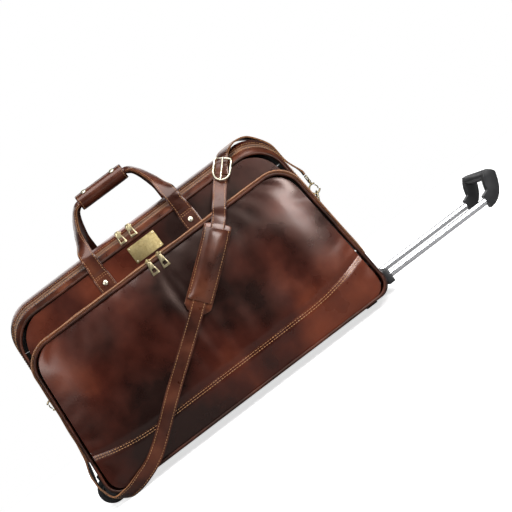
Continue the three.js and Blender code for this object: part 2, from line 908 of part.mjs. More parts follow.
// The strap comes over the top near the handle end, and then runs down across the pocket at a slant.
const onTop = bodyTopLength / 2 - 31;
const buckleX = onTop - 76;
const buckleHeight = pocketTop + 56;
const padHigh = [onTop - 142, pocketTop - 20];
const padLow = [padHigh[0] - 126, padHigh[1] - 102];
const cornerX = pocketLength / 2;
const underCorner = [105 - cornerX, pocketBase + 18];
const ridge = -halfDepth - pipingStand;

function longStops(front, beyond) {
  const ringX = -endAt(wheelRingHeight) - hookX;
  const lowEnd = wheelRingHeight - hookDrop - hookEyeDrop - gap;
  const wheelTop = 2 * wheelRadius;
  const overWheel = wheelTop + 34;
  const aside = THREE.MathUtils.lerp(overWheel, lowEnd - 12, 0.556);
  const slant = [0, 1].map((i) => THREE.MathUtils.lerp(underCorner[i], padLow[i], 0.505));
  return [
    { at: [ringX, 0, lowEnd], face: [-1, 0, 0] },
    { at: [ringX + 1, 0, lowEnd - 12], face: [-1, 0, 0] },
    { at: [-endAt(aside) - beyond - 3, -38, aside], face: [-1, -0.1, 0] },
    { at: [-endAt(overWheel) - beyond, 2 - wheelSpacing / 2, overWheel], face: [-1, -0.2, 0] },
    { at: [-endAt(wheelTop) - beyond, 5 - halfDepth, wheelTop + 2], face: [-0.95, -0.25, -0.15] },
    { at: [-cornerX - 9, 30 - pocketFace, pocketBase + 17], face: [-0.85, -0.3, -0.4] },
    { at: [-cornerX + 8, 13 - pocketFace, pocketBase - 2], face: [-0.35, -0.35, -0.85] },
    { at: [-cornerX + 34, front + 2, pocketBase - 5], face: [0, -0.8, -0.55] },
    { at: [-cornerX + 69, front - 1, pocketBase + 3], face: [0, -1, -0.15] },
    { at: [underCorner[0], front, underCorner[1]], face: [0, -1, 0] },
    { at: [slant[0], front, slant[1]], face: [0, -1, 0] },
    { at: [padLow[0], front, padLow[1]], face: [0, -1, 0] },
    { at: [padHigh[0], front, padHigh[1]], face: [0, -1, 0] },
    { at: [buckleX - 42, front + 1, buckleHeight - 48], face: [0, -1, 0.25] },
    { at: [buckleX - 22, ridge - 16, buckleHeight - 24], face: [0, -0.9, 0.4] },
    { at: [buckleX, ridge - 4, buckleHeight], face: [0, -1, 0.1] },
  ];
}

function shortStops(beyond) {
  const ringX = endAt(handleRingHeight) + hookX;
  const highEnd = handleRingHeight + hookDrop + hookEyeDrop + gap;
  return [
    { at: [ringX, 0, highEnd], face: [1, 0, 0] },
    { at: [ringX - 0.5, 0, highEnd + 10], face: [1, 0, 0] },
    { at: [endAt(top - 72) + beyond + 5, -10, top - 80], face: [1, -0.05, 0.1] },
    { at: [endAt(top - 22) + beyond - 2, -26, top - 30], face: [0.8, -0.05, 0.5] },
    { at: [onTop, 89 - halfDepth, top + beyond - 2], face: [0.3, 0, 1] },
    { at: [onTop - 28, 57 - halfDepth, top + beyond + 1], face: [0, -0.1, 1] },
    { at: [onTop - 52, 17 - halfDepth, top - 2], face: [0, -0.5, 1] },
    { at: [onTop - 67, ridge - 3, buckleHeight + 12], face: [0, -1, 0.3] },
  ];
}

function makeShoulderStrap() {
  const front = -pocketFace - pipingStand;
  const beyond = pipingStand + strapThickness / 2;
  const long = ribbon(longStops(front, beyond), 64, strapWidth, strapThickness);
  addPiece("shoulder_strap_long", lean(long), leather);
  const short = ribbon(shortStops(beyond), 36, strapWidth, strapThickness);
  addPiece("shoulder_strap_short", lean(short), leather);

  const padMiddle = front - strapThickness / 2 - gap - padThickness / 2;
  const pad = [padLow, padHigh].map(([x, z]) => ({ at: [x, padMiddle, z], face: [0, -1, 0] }));
  addPiece("shoulder_pad", lean(ribbon(pad, 4, padWidth, padThickness)), leather);

  makeBuckle();
}

function makeBuckle() {
  const frameShape = new THREE.Shape();
  const hole = new THREE.Path();
  for (const [outline, inset] of [[frameShape, 0], [hole, buckleWire]]) {
    const halfWide = buckleWidth / 2 - inset;
    const halfLong = buckleLength / 2 - inset;
    outline.moveTo(halfLong, -halfWide);
    outline.lineTo(halfLong, halfWide);
    outline.lineTo(halfWide - halfLong, halfWide);
    outline.absarc(halfWide - halfLong, 0, halfWide, Math.PI / 2, 1.5 * Math.PI);
  }
  frameShape.holes.push(hole);
  const group = new THREE.Group();
  bagGroup.add(group);
  group.position.set(buckleX, leanY(ridge, buckleHeight) - buckleOut, buckleHeight);
  group.rotation.x = Math.PI / 2 - buckleLean;
  const turned = new THREE.Group();
  turned.rotation.z = Math.atan2(24, 22);
  group.add(turned);
  addPiece(
    "buckle_frame",
    new THREE.ExtrudeGeometry(frameShape, { depth: buckleThickness, bevelEnabled: false, curveSegments: 10 })
      .translate(0, 0, -buckleThickness / 2),
    brass,
    turned,
  );
  addPiece(
    "buckle_prong",
    bar(
      "x",
      prongRadius,
      -buckleLength / 2,
      (buckleLength - buckleWire) / 2 + prongEnd,
      0,
      buckleThickness / 2 + prongRadius + gap,
      8,
    ),
    brass,
    turned,
  );
}

makeShell();
makePocket();
makeZipHardware();
makeCarryHandles();
makeNameplate();
makeEndHardware("wheel_end", { side: -1, hang: 1, barHeight: wheelRingHeight });
makeEndHardware("handle_end", { side: 1, hang: -1, barHeight: handleRingHeight });
makePullHandle();
makeRunningGear();
makeShoulderStrap();

// The frame's origin is on the floor, under the middle of the whole bag.
const whole = new THREE.Box3().setFromObject(bagGroup);
const middle = whole.getCenter(new THREE.Vector3());
bagGroup.position.set(-middle.x, -middle.y, -whole.min.z);

export default bagGroup;
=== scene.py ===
import bpy
import bmesh
import json
import math
from mathutils import Matrix, Vector
from mathutils.bvhtree import BVHTree

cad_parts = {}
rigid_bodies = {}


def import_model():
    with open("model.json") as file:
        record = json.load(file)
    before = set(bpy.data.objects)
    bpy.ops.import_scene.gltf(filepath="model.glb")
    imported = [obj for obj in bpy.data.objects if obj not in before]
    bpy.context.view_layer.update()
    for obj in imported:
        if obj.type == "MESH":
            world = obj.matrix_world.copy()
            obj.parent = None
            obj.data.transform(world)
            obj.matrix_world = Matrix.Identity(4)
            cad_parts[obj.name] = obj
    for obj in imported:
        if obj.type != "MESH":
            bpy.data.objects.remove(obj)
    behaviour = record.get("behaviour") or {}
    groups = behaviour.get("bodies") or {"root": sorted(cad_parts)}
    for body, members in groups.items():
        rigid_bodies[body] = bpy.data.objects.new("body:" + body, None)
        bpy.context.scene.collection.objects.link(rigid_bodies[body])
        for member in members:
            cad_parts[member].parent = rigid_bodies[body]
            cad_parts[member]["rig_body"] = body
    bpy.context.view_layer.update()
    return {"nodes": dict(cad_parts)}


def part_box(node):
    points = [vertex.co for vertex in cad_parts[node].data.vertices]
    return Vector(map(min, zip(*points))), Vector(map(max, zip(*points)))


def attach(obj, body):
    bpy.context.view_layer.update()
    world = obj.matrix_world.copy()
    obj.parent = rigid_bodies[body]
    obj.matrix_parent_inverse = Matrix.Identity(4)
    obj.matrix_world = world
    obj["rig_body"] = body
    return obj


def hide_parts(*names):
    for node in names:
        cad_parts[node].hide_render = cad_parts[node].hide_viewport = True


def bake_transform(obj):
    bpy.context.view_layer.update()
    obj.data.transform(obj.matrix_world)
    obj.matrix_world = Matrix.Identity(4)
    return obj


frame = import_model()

nodes = frame["nodes"]
mm = 0.001

# everything on the bag is measured from the middle of its length and depth
plateLow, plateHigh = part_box("name_plate")
baseLow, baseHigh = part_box("base_panel")
midX = (plateLow.x + plateHigh.x) / 2
midY = (baseLow.y + baseHigh.y) / 2

bag = dict(
    halfBase=330 * mm,      # half length at the base
    halfTop=303 * mm,
    base=12 * mm,
    top=402 * mm,
    halfDepth=145 * mm,
    halfTopDepth=115 * mm,
    baseCorner=26 * mm,
    topCorner=62 * mm,
    edgeSide=8 * mm,        # the front edge draws in this much at the ends
    edgeDrop=26 * mm,       # and this much at the top
    band=22 * mm,           # leather band between front panel and zip
    zipWidth=18 * mm,
    zipEnd=97 * mm,         # both zips stop at this height
    thickness=2.6 * mm,
)
pocket = dict(
    halfBase=316 * mm,
    halfTop=294 * mm,
    base=17 * mm,
    top=319 * mm,
    depth=45 * mm,
    baseCorner=30 * mm,
    topCorner=50 * mm,
    seam=62 * mm,           # seam above the pocket's base
    seamRise=27 * mm,
    zipFront=39 * mm,       # edges of the zip, out from the bag's front
    zipBack=25 * mm,
    swell=5.5 * mm,
)


def leanY(y, z):
    share = (z - bag["base"]) / (bag["top"] - bag["base"])
    return y * (1 - (1 - bag["halfTopDepth"] / bag["halfDepth"]) * share)


def onBag(x, y, z):
    return Vector((midX + x, midY + leanY(y, z), z))


def endAt(z):
    share = (z - bag["base"]) / (bag["top"] - bag["base"])
    return bag["halfBase"] - (bag["halfBase"] - bag["halfTop"]) * share


def onlySelect(piece):
    bpy.ops.object.select_all(action="DESELECT")
    piece.select_set(True)
    bpy.context.view_layer.objects.active = piece


def applyAll(piece):
    onlySelect(piece)
    for modifier in list(piece.modifiers):
        bpy.ops.object.modifier_apply(modifier=modifier.name)


def freeze(piece):
    onlySelect(piece)
    bpy.ops.object.transform_apply(location=True, rotation=True, scale=True)


def smooth(piece, angle=40):
    onlySelect(piece)
    bpy.ops.object.shade_smooth_by_angle(angle=math.radians(angle))


def outwards(piece):
    onlySelect(piece)
    bpy.ops.object.mode_set(mode="EDIT")
    bpy.ops.mesh.select_all(action="SELECT")
    bpy.ops.mesh.remove_doubles(threshold=1e-6)
    bpy.ops.mesh.normals_make_consistent(inside=False)
    bpy.ops.object.mode_set(mode="OBJECT")


def finish(piece, body, slot, *replaced):
    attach(piece, body)
    if replaced:
        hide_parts(*replaced)
    return piece


def warpGrid(name, columns, rows, place, material):
    # a flat grid whose points are then put where place(u, v) says
    bpy.ops.object.select_all(action="DESELECT")
    bpy.ops.mesh.primitive_grid_add(x_subdivisions=columns, y_subdivisions=rows, size=1)
    piece = bpy.context.object
    piece.name = name
    for vertex in piece.data.vertices:
        vertex.co = place(vertex.co.x + 0.5, vertex.co.y + 0.5)
    piece.data.materials.append(material)
    return piece


def thicken(piece, thickness, offset=-1, rim=None, bevel=0.0, segments=2):
    if rim is not None:
        piece.data.materials.append(rim)
    solid = piece.modifiers.new("solid", "SOLIDIFY")
    solid.thickness = thickness
    solid.offset = offset
    solid.use_even_offset = False
    if rim is not None:
        solid.material_offset_rim = len(piece.data.materials) - 1
    if bevel:
        rounded = piece.modifiers.new("round", "BEVEL")
        rounded.width = bevel
        rounded.segments = segments
        rounded.limit_method = "ANGLE"
        rounded.angle_limit = math.radians(50)
    applyAll(piece)
    outwards(piece)
    smooth(piece)


def wireAlong(name, points, radius, material, closed=False, roundness=3):
    # a round wire, cord or rolled edge through the points
    bpy.ops.object.select_all(action="DESELECT")
    bpy.ops.curve.primitive_nurbs_path_add()
    wire = bpy.context.object
    wire.name = name
    curve = wire.data
    curve.splines.clear()
    spline = curve.splines.new("POLY")
    spline.points.add(len(points) - 1)
    for knot, point in zip(spline.points, points):
        knot.co = (*point, 1)
    spline.use_cyclic_u = closed
    curve.bevel_depth = radius
    curve.bevel_resolution = roundness
    curve.use_fill_caps = not closed
    freeze(wire)
    bpy.ops.object.convert(target="MESH")
    wire.data.materials.clear()
    wire.data.materials.append(material)
    outwards(wire)
    smooth(wire, 50)
    return wire


def softenNode(name, width, segments=2, angle=30):
    # a CAD node keeps its mesh, and its edges are rounded by modifiers
    node = nodes[name]
    weld = node.modifiers.new("weld", "WELD")
    weld.merge_threshold = 0.02 * mm
    edges = node.modifiers.new("edges", "BEVEL")
    edges.width = width
    edges.segments = segments
    edges.limit_method = "ANGLE"
    edges.angle_limit = math.radians(angle)
    edges.harden_normals = True
    onlySelect(node)
    bpy.ops.object.shade_smooth_by_angle(angle=math.radians(50))


def paintNode(name, material):
    mesh = nodes[name].data
    mesh.materials.clear()
    mesh.materials.append(material)


def resample(points, count):
    # evenly spaced points along an open line
    lengths = [0.0]
    for a, b in zip(points, points[1:]):
        lengths.append(lengths[-1] + (b - a).length)
    made = []
    k = 0
    for i in range(count + 1):
        want = lengths[-1] * i / count
        while k < len(points) - 2 and lengths[k + 1] < want:
            k += 1
        span = max(lengths[k + 1] - lengths[k], 1e-9)
        made.append(points[k].lerp(points[k + 1], (want - lengths[k]) / span))
    return made


def lineLength(points):
    return sum((b - a).length for a, b in zip(points, points[1:]))


def outline(halfBase, halfTop, low, high, baseRadius, topRadius, steps=14):
    # rounded trapezoid in x and z, anticlockwise from the lower left
    corners = [
        (Vector((-halfBase, low)), baseRadius),
        (Vector((halfBase, low)), baseRadius),
        (Vector((halfTop, high)), topRadius),
        (Vector((-halfTop, high)), topRadius),
    ]
    ring = []
    for i, (corner, radius) in enumerate(corners):
        toLast = (corners[i - 1][0] - corner).normalized()
        toNext = (corners[(i + 1) % 4][0] - corner).normalized()
        half = toLast.angle(toNext) / 2
        middle = (toLast + toNext).normalized()
        centre = corner + middle * radius / math.sin(half)
        start = math.atan2(-middle.y, -middle.x) - (math.pi / 2 - half)
        for s in range(steps + 1):
            angle = start + s / steps * (math.pi - 2 * half)
            ring.append(centre + radius * Vector((math.cos(angle), math.sin(angle))))
    return ring


def edgeShare(y):
    # how far the outline has drawn in at a depth
    fromFace = bag["halfDepth"] - abs(y)
    roll = bag["band"] + bag["zipWidth"] + 30 * mm
    share = max(0.0, 1 - fromFace / roll)
    return share ** 1.6


def bodyOutline(y, inset=0.0):
    share = edgeShare(y)
    side = share * bag["edgeSide"] + inset
    return outline(
        bag["halfBase"] - side,
        bag["halfTop"] - side,
        bag["base"] + inset,
        bag["top"] - share * bag["edgeDrop"] - inset,
        bag["baseCorner"] - inset,
        bag["topCorner"] - inset,
    )


def pocketOutline(inset=0.0):
    return outline(
        pocket["halfBase"] - inset,
        pocket["halfTop"] - inset,
        pocket["base"] + inset,
        pocket["top"] - inset,
        pocket["baseCorner"] - inset,
        pocket["topCorner"] - inset,
    )


def pocketWallOutline(y):
    # behind its piping the pocket stands a little fuller, most of all where the zip runs
    share = (y + bag["halfDepth"] + pocket["depth"]) / pocket["depth"]
    swell = pocket["swell"] * math.sin(math.pi * min(1.0, max(0.0, share * 1.1)) ** 0.8)
    return pocketOutline(-swell)


def dense(ring, spacing=4 * mm):
    made = []
    for a, b in zip(ring, ring[1:] + ring[:1]):
        steps = max(1, round((b - a).length / spacing))
        made += [a.lerp(b, k / steps) for k in range(steps)]
    return made


def archOver(ring, height, count):
    # the part of an outline above a height, from the left end to the right end
    points = dense(ring, 1 * mm)
    upper = [p for p in points if p.y >= height]
    left = sorted((p for p in upper if p.x < 0 and p.y < highOf(ring) - 1e-5), key=lambda p: p.y)
    top = sorted((p for p in upper if p.y >= highOf(ring) - 1e-5), key=lambda p: p.x)
    right = [Vector((-p.x, p.y)) for p in reversed(left)]
    return resample(left + top + right, count)


def highOf(ring):
    return max(p.y for p in ring)


def lowOf(ring):
    return min(p.y for p in ring)


def cradleUnder(ring, height, count):
    points = dense(ring, 1 * mm)
    lower = [p for p in points if p.y <= height]
    left = sorted((p for p in lower if p.x < 0 and p.y > lowOf(ring) + 1e-5), key=lambda p: -p.y)
    floor = sorted((p for p in lower if p.y <= lowOf(ring) + 1e-5), key=lambda p: p.x)
    right = [Vector((-p.x, p.y)) for p in reversed(left)]
    return resample(left + floor + right, count)


def flankBetween(ring, side, low, high, count):
    points = dense(ring, 1 * mm)
    part = sorted((p for p in points if p.x < 0 and low <= p.y <= high), key=lambda p: p.y)
    return resample([Vector((-side * p.x, p.y)) for p in part], count)


def outNormal(points, i):
    a = points[max(i - 1, 0)]
    b = points[min(i + 1, len(points) - 1)]
    along = (b - a).normalized()
    normal = Vector((along.y, -along.x))
    # away from the middle of the bag
    if normal.dot(points[i] - Vector((0, 0.2))) < 0:
        normal = -normal
    return normal


view = dict(
    place=(-0.0895, -2.3646, 0.260),
    turn=2.72,          # degrees towards the pull handle
    dip=1.22,
    roll=37.0,          # the bag hangs with its pull handle up
    lens=85.9,
)


def makeCamera():
    turn, dip, roll = (math.radians(view[k]) for k in ("turn", "dip", "roll"))
    ahead = Vector((math.sin(turn) * math.cos(dip), math.cos(turn) * math.cos(dip), -math.sin(dip)))
    right = Vector((math.cos(roll), 0, -math.sin(roll)))
    right = (right - ahead * right.dot(ahead)).normalized()
    up = right.cross(ahead)
    bpy.ops.object.camera_add()
    camera = bpy.context.object
    camera.name = "camera"
    turned = Matrix((right, up, -ahead)).transposed().to_4x4()
    camera.matrix_world = Matrix.Translation(view["place"]) @ turned
    camera.data.lens = view["lens"]
    camera.data.sensor_width = 36
    bpy.context.scene.camera = camera


studio = dict(
    white=1.0,
    fill=0.07,
    floor=3.2,
    # name: place, size, power, aim
    boxes=dict(
        overhead=((0.25, -0.7, 1.9), (2.0, 1.3), 44, (-0.13, 0, 0.3)),
        rightFront=((0.8, -1.75, 0.95), (0.5, 0.7), 24, (0.1, -0.15, 0.27)),
        leftFront=((-1.45, -1.75, 1.15), (1.1, 0.6), 13, (-0.3, -0.1, 0.25)),
        behind=((-0.3, 1.9, 1.5), (2.2, 1.2), 15, (-0.13, 0, 0.2)),
    ),
)


def makeStudio():
    bpy.ops.object.select_all(action="DESELECT")
    bpy.ops.mesh.primitive_plane_add(size=studio["floor"], location=(0, 0, 0))
    floor = bpy.context.object
    floor.name = "floor"
    paper = bpy.data.materials.new("paper")
    paper.use_nodes = True
    shader = paper.node_tree.nodes["Principled BSDF"]
    shader.inputs["Base Color"].default_value = (0.9, 0.9, 0.9, 1)
    shader.inputs["Roughness"].default_value = 0.9
    shader.inputs["Specular IOR Level"].default_value = 0.1
    shader.inputs["Emission Color"].default_value = (1, 1, 1, 1)
    shader.inputs["Emission Strength"].default_value = 0.7
    tree = paper.node_tree
    dull = tree.nodes.new("ShaderNodeBsdfDiffuse")
    dull.inputs["Color"].default_value = (0.35, 0.35, 0.35, 1)
    path = tree.nodes.new("ShaderNodeLightPath")
    either = tree.nodes.new("ShaderNodeMixShader")
    tree.links.new(path.outputs["Is Camera Ray"], either.inputs[0])
    tree.links.new(dull.outputs[0], either.inputs[1])
    tree.links.new(shader.outputs[0], either.inputs[2])
    tree.links.new(either.outputs[0], tree.nodes["Material Output"].inputs["Surface"])
    floor.data.materials.append(paper)

    for name, (place, size, power, aim) in studio["boxes"].items():
        bpy.ops.object.light_add(type="AREA", location=place)
        lamp = bpy.context.object
        lamp.name = name
        lamp.data.shape = "RECTANGLE"
        lamp.data.size = size[0]
        lamp.data.size_y = size[1]
        lamp.data.energy = power
        away = Vector(aim) - Vector(place)
        lamp.rotation_euler = away.to_track_quat("-Z", "Y").to_euler()

    world = bpy.data.worlds.new("studio")
    bpy.context.scene.world = world
    world.use_nodes = True
    tree = world.node_tree
    tree.nodes.clear()
    out = tree.nodes.new("ShaderNodeOutputWorld")
    mix = tree.nodes.new("ShaderNodeMixShader")
    path = tree.nodes.new("ShaderNodeLightPath")
    fill = tree.nodes.new("ShaderNodeBackground")
    fill.inputs["Strength"].default_value = studio["fill"]
    white = tree.nodes.new("ShaderNodeBackground")
    white.inputs["Color"].default_value = (1, 1, 1, 1)
    white.inputs["Strength"].default_value = studio["white"]
    tree.links.new(path.outputs["Is Camera Ray"], mix.inputs[0])
    tree.links.new(fill.outputs[0], mix.inputs[1])
    tree.links.new(white.outputs[0], mix.inputs[2])
    tree.links.new(mix.outputs[0], out.inputs[0])
    bpy.context.scene.view_settings.view_transform = "Standard"


makeCamera()
makeStudio()
print("camera and studio ready")


def newMaterial(name, metal=0.0, rough=0.5, coat=0.0, coatRough=0.1, sheen=0.0):
    material = bpy.data.materials.new(name)
    material.use_nodes = True
    shader = material.node_tree.nodes["Principled BSDF"]
    shader.inputs["Metallic"].default_value = metal
    shader.inputs["Roughness"].default_value = rough
    shader.inputs["Coat Weight"].default_value = coat
    shader.inputs["Coat Roughness"].default_value = coatRough
    shader.inputs["Sheen Weight"].default_value = sheen
    return material, material.node_tree, shader


def objectSpace(tree, stretch=(1, 1, 1)):
    coords = tree.nodes.new("ShaderNodeTexCoord")
    mapping = tree.nodes.new("ShaderNodeMapping")
    mapping.inputs["Scale"].default_value = stretch
    tree.links.new(coords.outputs["Object"], mapping.inputs["Vector"])
    return mapping.outputs["Vector"]


def noise(tree, vector, scale, detail=3.0, rough=0.5, distortion=0.0):
    node = tree.nodes.new("ShaderNodeTexNoise")
    node.inputs["Scale"].default_value = scale
    node.inputs["Detail"].default_value = detail
    node.inputs["Roughness"].default_value = rough
    node.inputs["Distortion"].default_value = distortion
    tree.links.new(vector, node.inputs["Vector"])
    return node.outputs["Fac"]


def ramp(tree, value, *stops):
    node = tree.nodes.new("ShaderNodeValToRGB")
    bands = node.color_ramp
    while len(bands.elements) < len(stops):
        bands.elements.new(0.5)
    for element, (place, colour) in zip(bands.elements, stops):
        element.position = place
        element.color = (*colour, 1) if len(colour) == 3 else colour
    tree.links.new(value, node.inputs["Fac"])
    return node.outputs["Color"]


def mixColour(tree, share, a, b, kind="MIX"):
    node = tree.nodes.new("ShaderNodeMixRGB")
    node.blend_type = kind
    for socket, value in zip(("Fac", "Color1", "Color2"), (share, a, b)):
        if isinstance(value, (int, float)):
            node.inputs[socket].default_value = value
        elif isinstance(value, tuple):
            node.inputs[socket].default_value = (*value, 1)
        else:
            tree.links.new(value, node.inputs[socket])
    return node.outputs["Color"]


def sums(tree, kind, a, b):
    node = tree.nodes.new("ShaderNodeMath")
    node.operation = kind
    for socket, value in zip(node.inputs, (a, b)):
        if isinstance(value, (int, float)):
            socket.default_value = value
        else:
            tree.links.new(value, socket)
    return node.outputs[0]


def bump(tree, shader, height, distance, strength=1.0, before=None):
    node = tree.nodes.new("ShaderNodeBump")
    node.inputs["Distance"].default_value = distance
    node.inputs["Strength"].default_value = strength
    tree.links.new(height, node.inputs["Height"])
    if before is not None:
        tree.links.new(before, node.inputs["Normal"])
    tree.links.new(node.outputs["Normal"], shader.inputs["Normal"])
    return node.outputs["Normal"]


def makeLeather(name, dark, mid, light, rough=0.3, coat=0.3, mottle=4.2, grain=900.0, crease=0.35):
    # hand-finished calf leather: dye that pools in wide clouds, a fine pebble, soft creases and a waxed gloss
    material, tree, shader = newMaterial(name, rough=rough, coat=coat, coatRough=0.19)
    shader.inputs["Specular IOR Level"].default_value = 0.4
    shader.inputs["Specular Tint"].default_value = (1, 0.7, 0.6, 1)
    shader.inputs["Coat Tint"].default_value = (1, 0.88, 0.84, 1)
    space = objectSpace(tree)
    clouds = noise(tree, space, mottle, 2.0, 0.45, 0.2)
    smaller = noise(tree, space, mottle * 4.5, 3.0, 0.5)
    tone = sums(tree, "ADD", sums(tree, "MULTIPLY", clouds, 0.78), sums(tree, "MULTIPLY", smaller, 0.22))
    colour = ramp(tree, tone, (0.4, dark), (0.51, mid), (0.66, light))
    streaks = noise(tree, objectSpace(tree, (1, 1, 0.3)), 55.0, 4.0, 0.6)
    colour = mixColour(tree, 0.18, colour, ramp(tree, streaks, (0.35, (0.45,) * 3), (0.7, (1.0,) * 3)), "MULTIPLY")
    tree.links.new(colour, shader.inputs["Base Color"])
    shine = ramp(tree, smaller, (0.3, (rough * 0.8,) * 3), (0.75, (rough * 1.3,) * 3))
    tree.links.new(shine, shader.inputs["Roughness"])
    pebble = tree.nodes.new("ShaderNodeTexVoronoi")
    pebble.feature = "DISTANCE_TO_EDGE"
    pebble.inputs["Scale"].default_value = grain
    tree.links.new(space, pebble.inputs["Vector"])
    folds = noise(tree, space, 17.0, 2.0, 0.45)
    first = bump(tree, shader, folds, 1.2 * mm, crease)
    wrinkles = noise(tree, objectSpace(tree, (1.0, 1.0, 0.55)), 120.0, 2.0, 0.5)
    second = bump(tree, shader, wrinkles, 0.3 * mm, 0.3, first)
    bump(tree, shader, pebble.outputs["Distance"], 0.1 * mm, 0.35, second)
    return material


bodyLeather = makeLeather("bodyLeather", (0.007, 0.0011, 0.0007), (0.042, 0.0062, 0.0027), (0.15, 0.031, 0.0118))
strapLeather = makeLeather(
    "strapLeather", (0.026, 0.006, 0.003), (0.058, 0.0145, 0.007), (0.11, 0.033, 0.0155), rough=0.32, mottle=12.0
)
trimLeather = makeLeather(
    "trimLeather", (0.03, 0.008, 0.004), (0.075, 0.02, 0.009), (0.16, 0.048, 0.02), rough=0.32, mottle=14.0
)
pipingLeather = makeLeather(
    "pipingLeather", (0.012, 0.0035, 0.002), (0.035, 0.009, 0.005), (0.08, 0.022, 0.011), rough=0.42, coat=0.0, mottle=20.0
)


def makeRawEdge():
    # cut edge of the leather, dyed and rubbed tan
    material, tree, shader = newMaterial("rawEdge", rough=0.6)
    space = objectSpace(tree)
    colour = ramp(
        tree, noise(tree, space, 160.0, 4.0, 0.6), (0.3, (0.13, 0.05, 0.02)), (0.7, (0.36, 0.16, 0.06))
    )
    tree.links.new(colour, shader.inputs["Base Color"])
    bump(tree, shader, noise(tree, space, 900.0, 3.0, 0.6), 0.15 * mm, 0.6)
    return material


def makeThread():
    material, tree, shader = newMaterial("thread", rough=0.65, sheen=0.3)
    space = objectSpace(tree)
    colour = ramp(tree, noise(tree, space, 120.0), (0.3, (0.3, 0.13, 0.04)), (0.7, (0.55, 0.27, 0.09)))
    tree.links.new(colour, shader.inputs["Base Color"])
    bump(tree, shader, noise(tree, space, 3000.0, 2.0), 0.05 * mm, 0.5)
    return material


def makeZipCloth(name, dark, light):
    material, tree, shader = newMaterial(name, rough=0.75, sheen=0.25)
    space = objectSpace(tree)
    weave = tree.nodes.new("ShaderNodeTexVoronoi")
    weave.inputs["Scale"].default_value = 1100
    tree.links.new(space, weave.inputs["Vector"])
    colour = ramp(tree, noise(tree, space, 45.0, 4.0, 0.6), (0.3, dark), (0.7, light))
    colour = mixColour(tree, 0.45, colour, ramp(tree, weave.outputs["Distance"], (0.1, (1,) * 3), (0.6, (0.4,) * 3)), "MULTIPLY")
    tree.links.new(colour, shader.inputs["Base Color"])
    bump(tree, shader, weave.outputs["Distance"], 0.2 * mm, 0.7)
    return material


def makeBrass(name, dark, light, rough):
    # antique brass: duller and browner in patches, with fine rubbing marks
    material, tree, shader = newMaterial(name, metal=1.0, rough=rough)
    space = objectSpace(tree)
    patina = noise(tree, space, 130.0, 5.0, 0.65, 0.3)
    colour = ramp(tree, patina, (0.32, dark), (0.62, light))
    tree.links.new(colour, shader.inputs["Base Color"])
    shine = ramp(tree, patina, (0.3, (rough * 1.5,) * 3), (0.7, (rough * 0.8,) * 3))
    tree.links.new(shine, shader.inputs["Roughness"])
    scratches = noise(tree, objectSpace(tree, (1, 1, 9)), 420.0, 3.0, 0.6)
    bump(tree, shader, scratches, 0.05 * mm, 0.5)
    return material


def makePlastic(name, colour, rough, coarse=1400.0):
    material, tree, shader = newMaterial(name, rough=rough)
    space = objectSpace(tree)
    worn = noise(tree, space, 35.0, 5.0, 0.6)
    lighter = tuple(c * 1.9 + 0.004 for c in colour)
    tree.links.new(ramp(tree, worn, (0.35, colour), (0.75, lighter)), shader.inputs["Base Color"])
    tree.links.new(ramp(tree, worn, (0.3, (rough * 0.8,) * 3), (0.7, (rough * 1.2,) * 3)), shader.inputs["Roughness"])
    bump(tree, shader, noise(tree, space, coarse, 3.0, 0.6), 0.08 * mm, 0.6)
    return material


def makeTubeMetal():
    material, tree, shader = newMaterial("tubeMetal", metal=1.0, rough=0.16)
    space = objectSpace(tree, (0.15, 6, 6))
    drawn = noise(tree, space, 260.0, 3.0, 0.6)
    tree.links.new(ramp(tree, drawn, (0.3, (0.6, 0.61, 0.63)), (0.7, (0.86, 0.86, 0.88))), shader.inputs["Base Color"])
    tree.links.new(ramp(tree, drawn, (0.3, (0.12,) * 3), (0.7, (0.24,) * 3)), shader.inputs["Roughness"])
    bump(tree, shader, drawn, 0.02 * mm, 0.4)
    return material


def makeBoard():
    material, tree, shader = newMaterial("baseBoard", rough=0.85)
    space = objectSpace(tree, (1, 5, 5))
    tree.links.new(
        ramp(tree, noise(tree, space, 30.0, 5.0), (0.3, (0.05, 0.04, 0.03)), (0.7, (0.12, 0.09, 0.06))),
        shader.inputs["Base Color"],
    )
    bump(tree, shader, noise(tree, space, 400.0), 0.1 * mm, 0.5)
    return material


rawEdge = makeRawEdge()
thread = makeThread()
zipCloth = makeZipCloth("zipCloth", (0.22, 0.085, 0.026), (0.5, 0.23, 0.08))
zipClothDark = makeZipCloth("zipClothDark", (0.09, 0.035, 0.015), (0.24, 0.1, 0.04))
zipTeeth = makeBrass("zipTeeth", (0.2, 0.1, 0.045), (0.52, 0.3, 0.14), 0.38)
brass = makeBrass("antiqueBrass", (0.24, 0.19, 0.1), (0.62, 0.53, 0.33), 0.3)
plateBrass = makeBrass("plateBrass", (0.26, 0.2, 0.09), (0.44, 0.35, 0.17), 0.42)
paleBrass = makeBrass("paleBrass", (0.5, 0.46, 0.34), (0.8, 0.77, 0.62), 0.28)
blackPlastic = makePlastic("blackPlastic", (0.012, 0.012, 0.013), 0.42)
rubber = makePlastic("wheelRubber", (0.01, 0.01, 0.01), 0.75, 700.0)
tubeMetal = makeTubeMetal()
baseBoard = makeBoard()
print("materials ready")


stitch = dict(length=3.6 * mm, pitch=5.0 * mm, radius=0.5 * mm)


def oneStitch():
    bpy.ops.object.select_all(action="DESELECT")
    bpy.ops.mesh.primitive_uv_sphere_add(segments=6, ring_count=5, radius=1)
    shape = bpy.context.object
    bpy.ops.object.mode_set(mode="EDIT")
    bpy.ops.mesh.select_all(action="SELECT")
    bpy.ops.transform.rotate(value=math.pi / 2, orient_axis="Y", center_override=(0, 0, 0))
    bpy.ops.object.mode_set(mode="OBJECT")
    corners = [v.co.copy() for v in shape.data.vertices]
    faces = [tuple(f.vertices) for f in shape.data.polygons]
    bpy.data.objects.remove(shape)
    return corners, faces


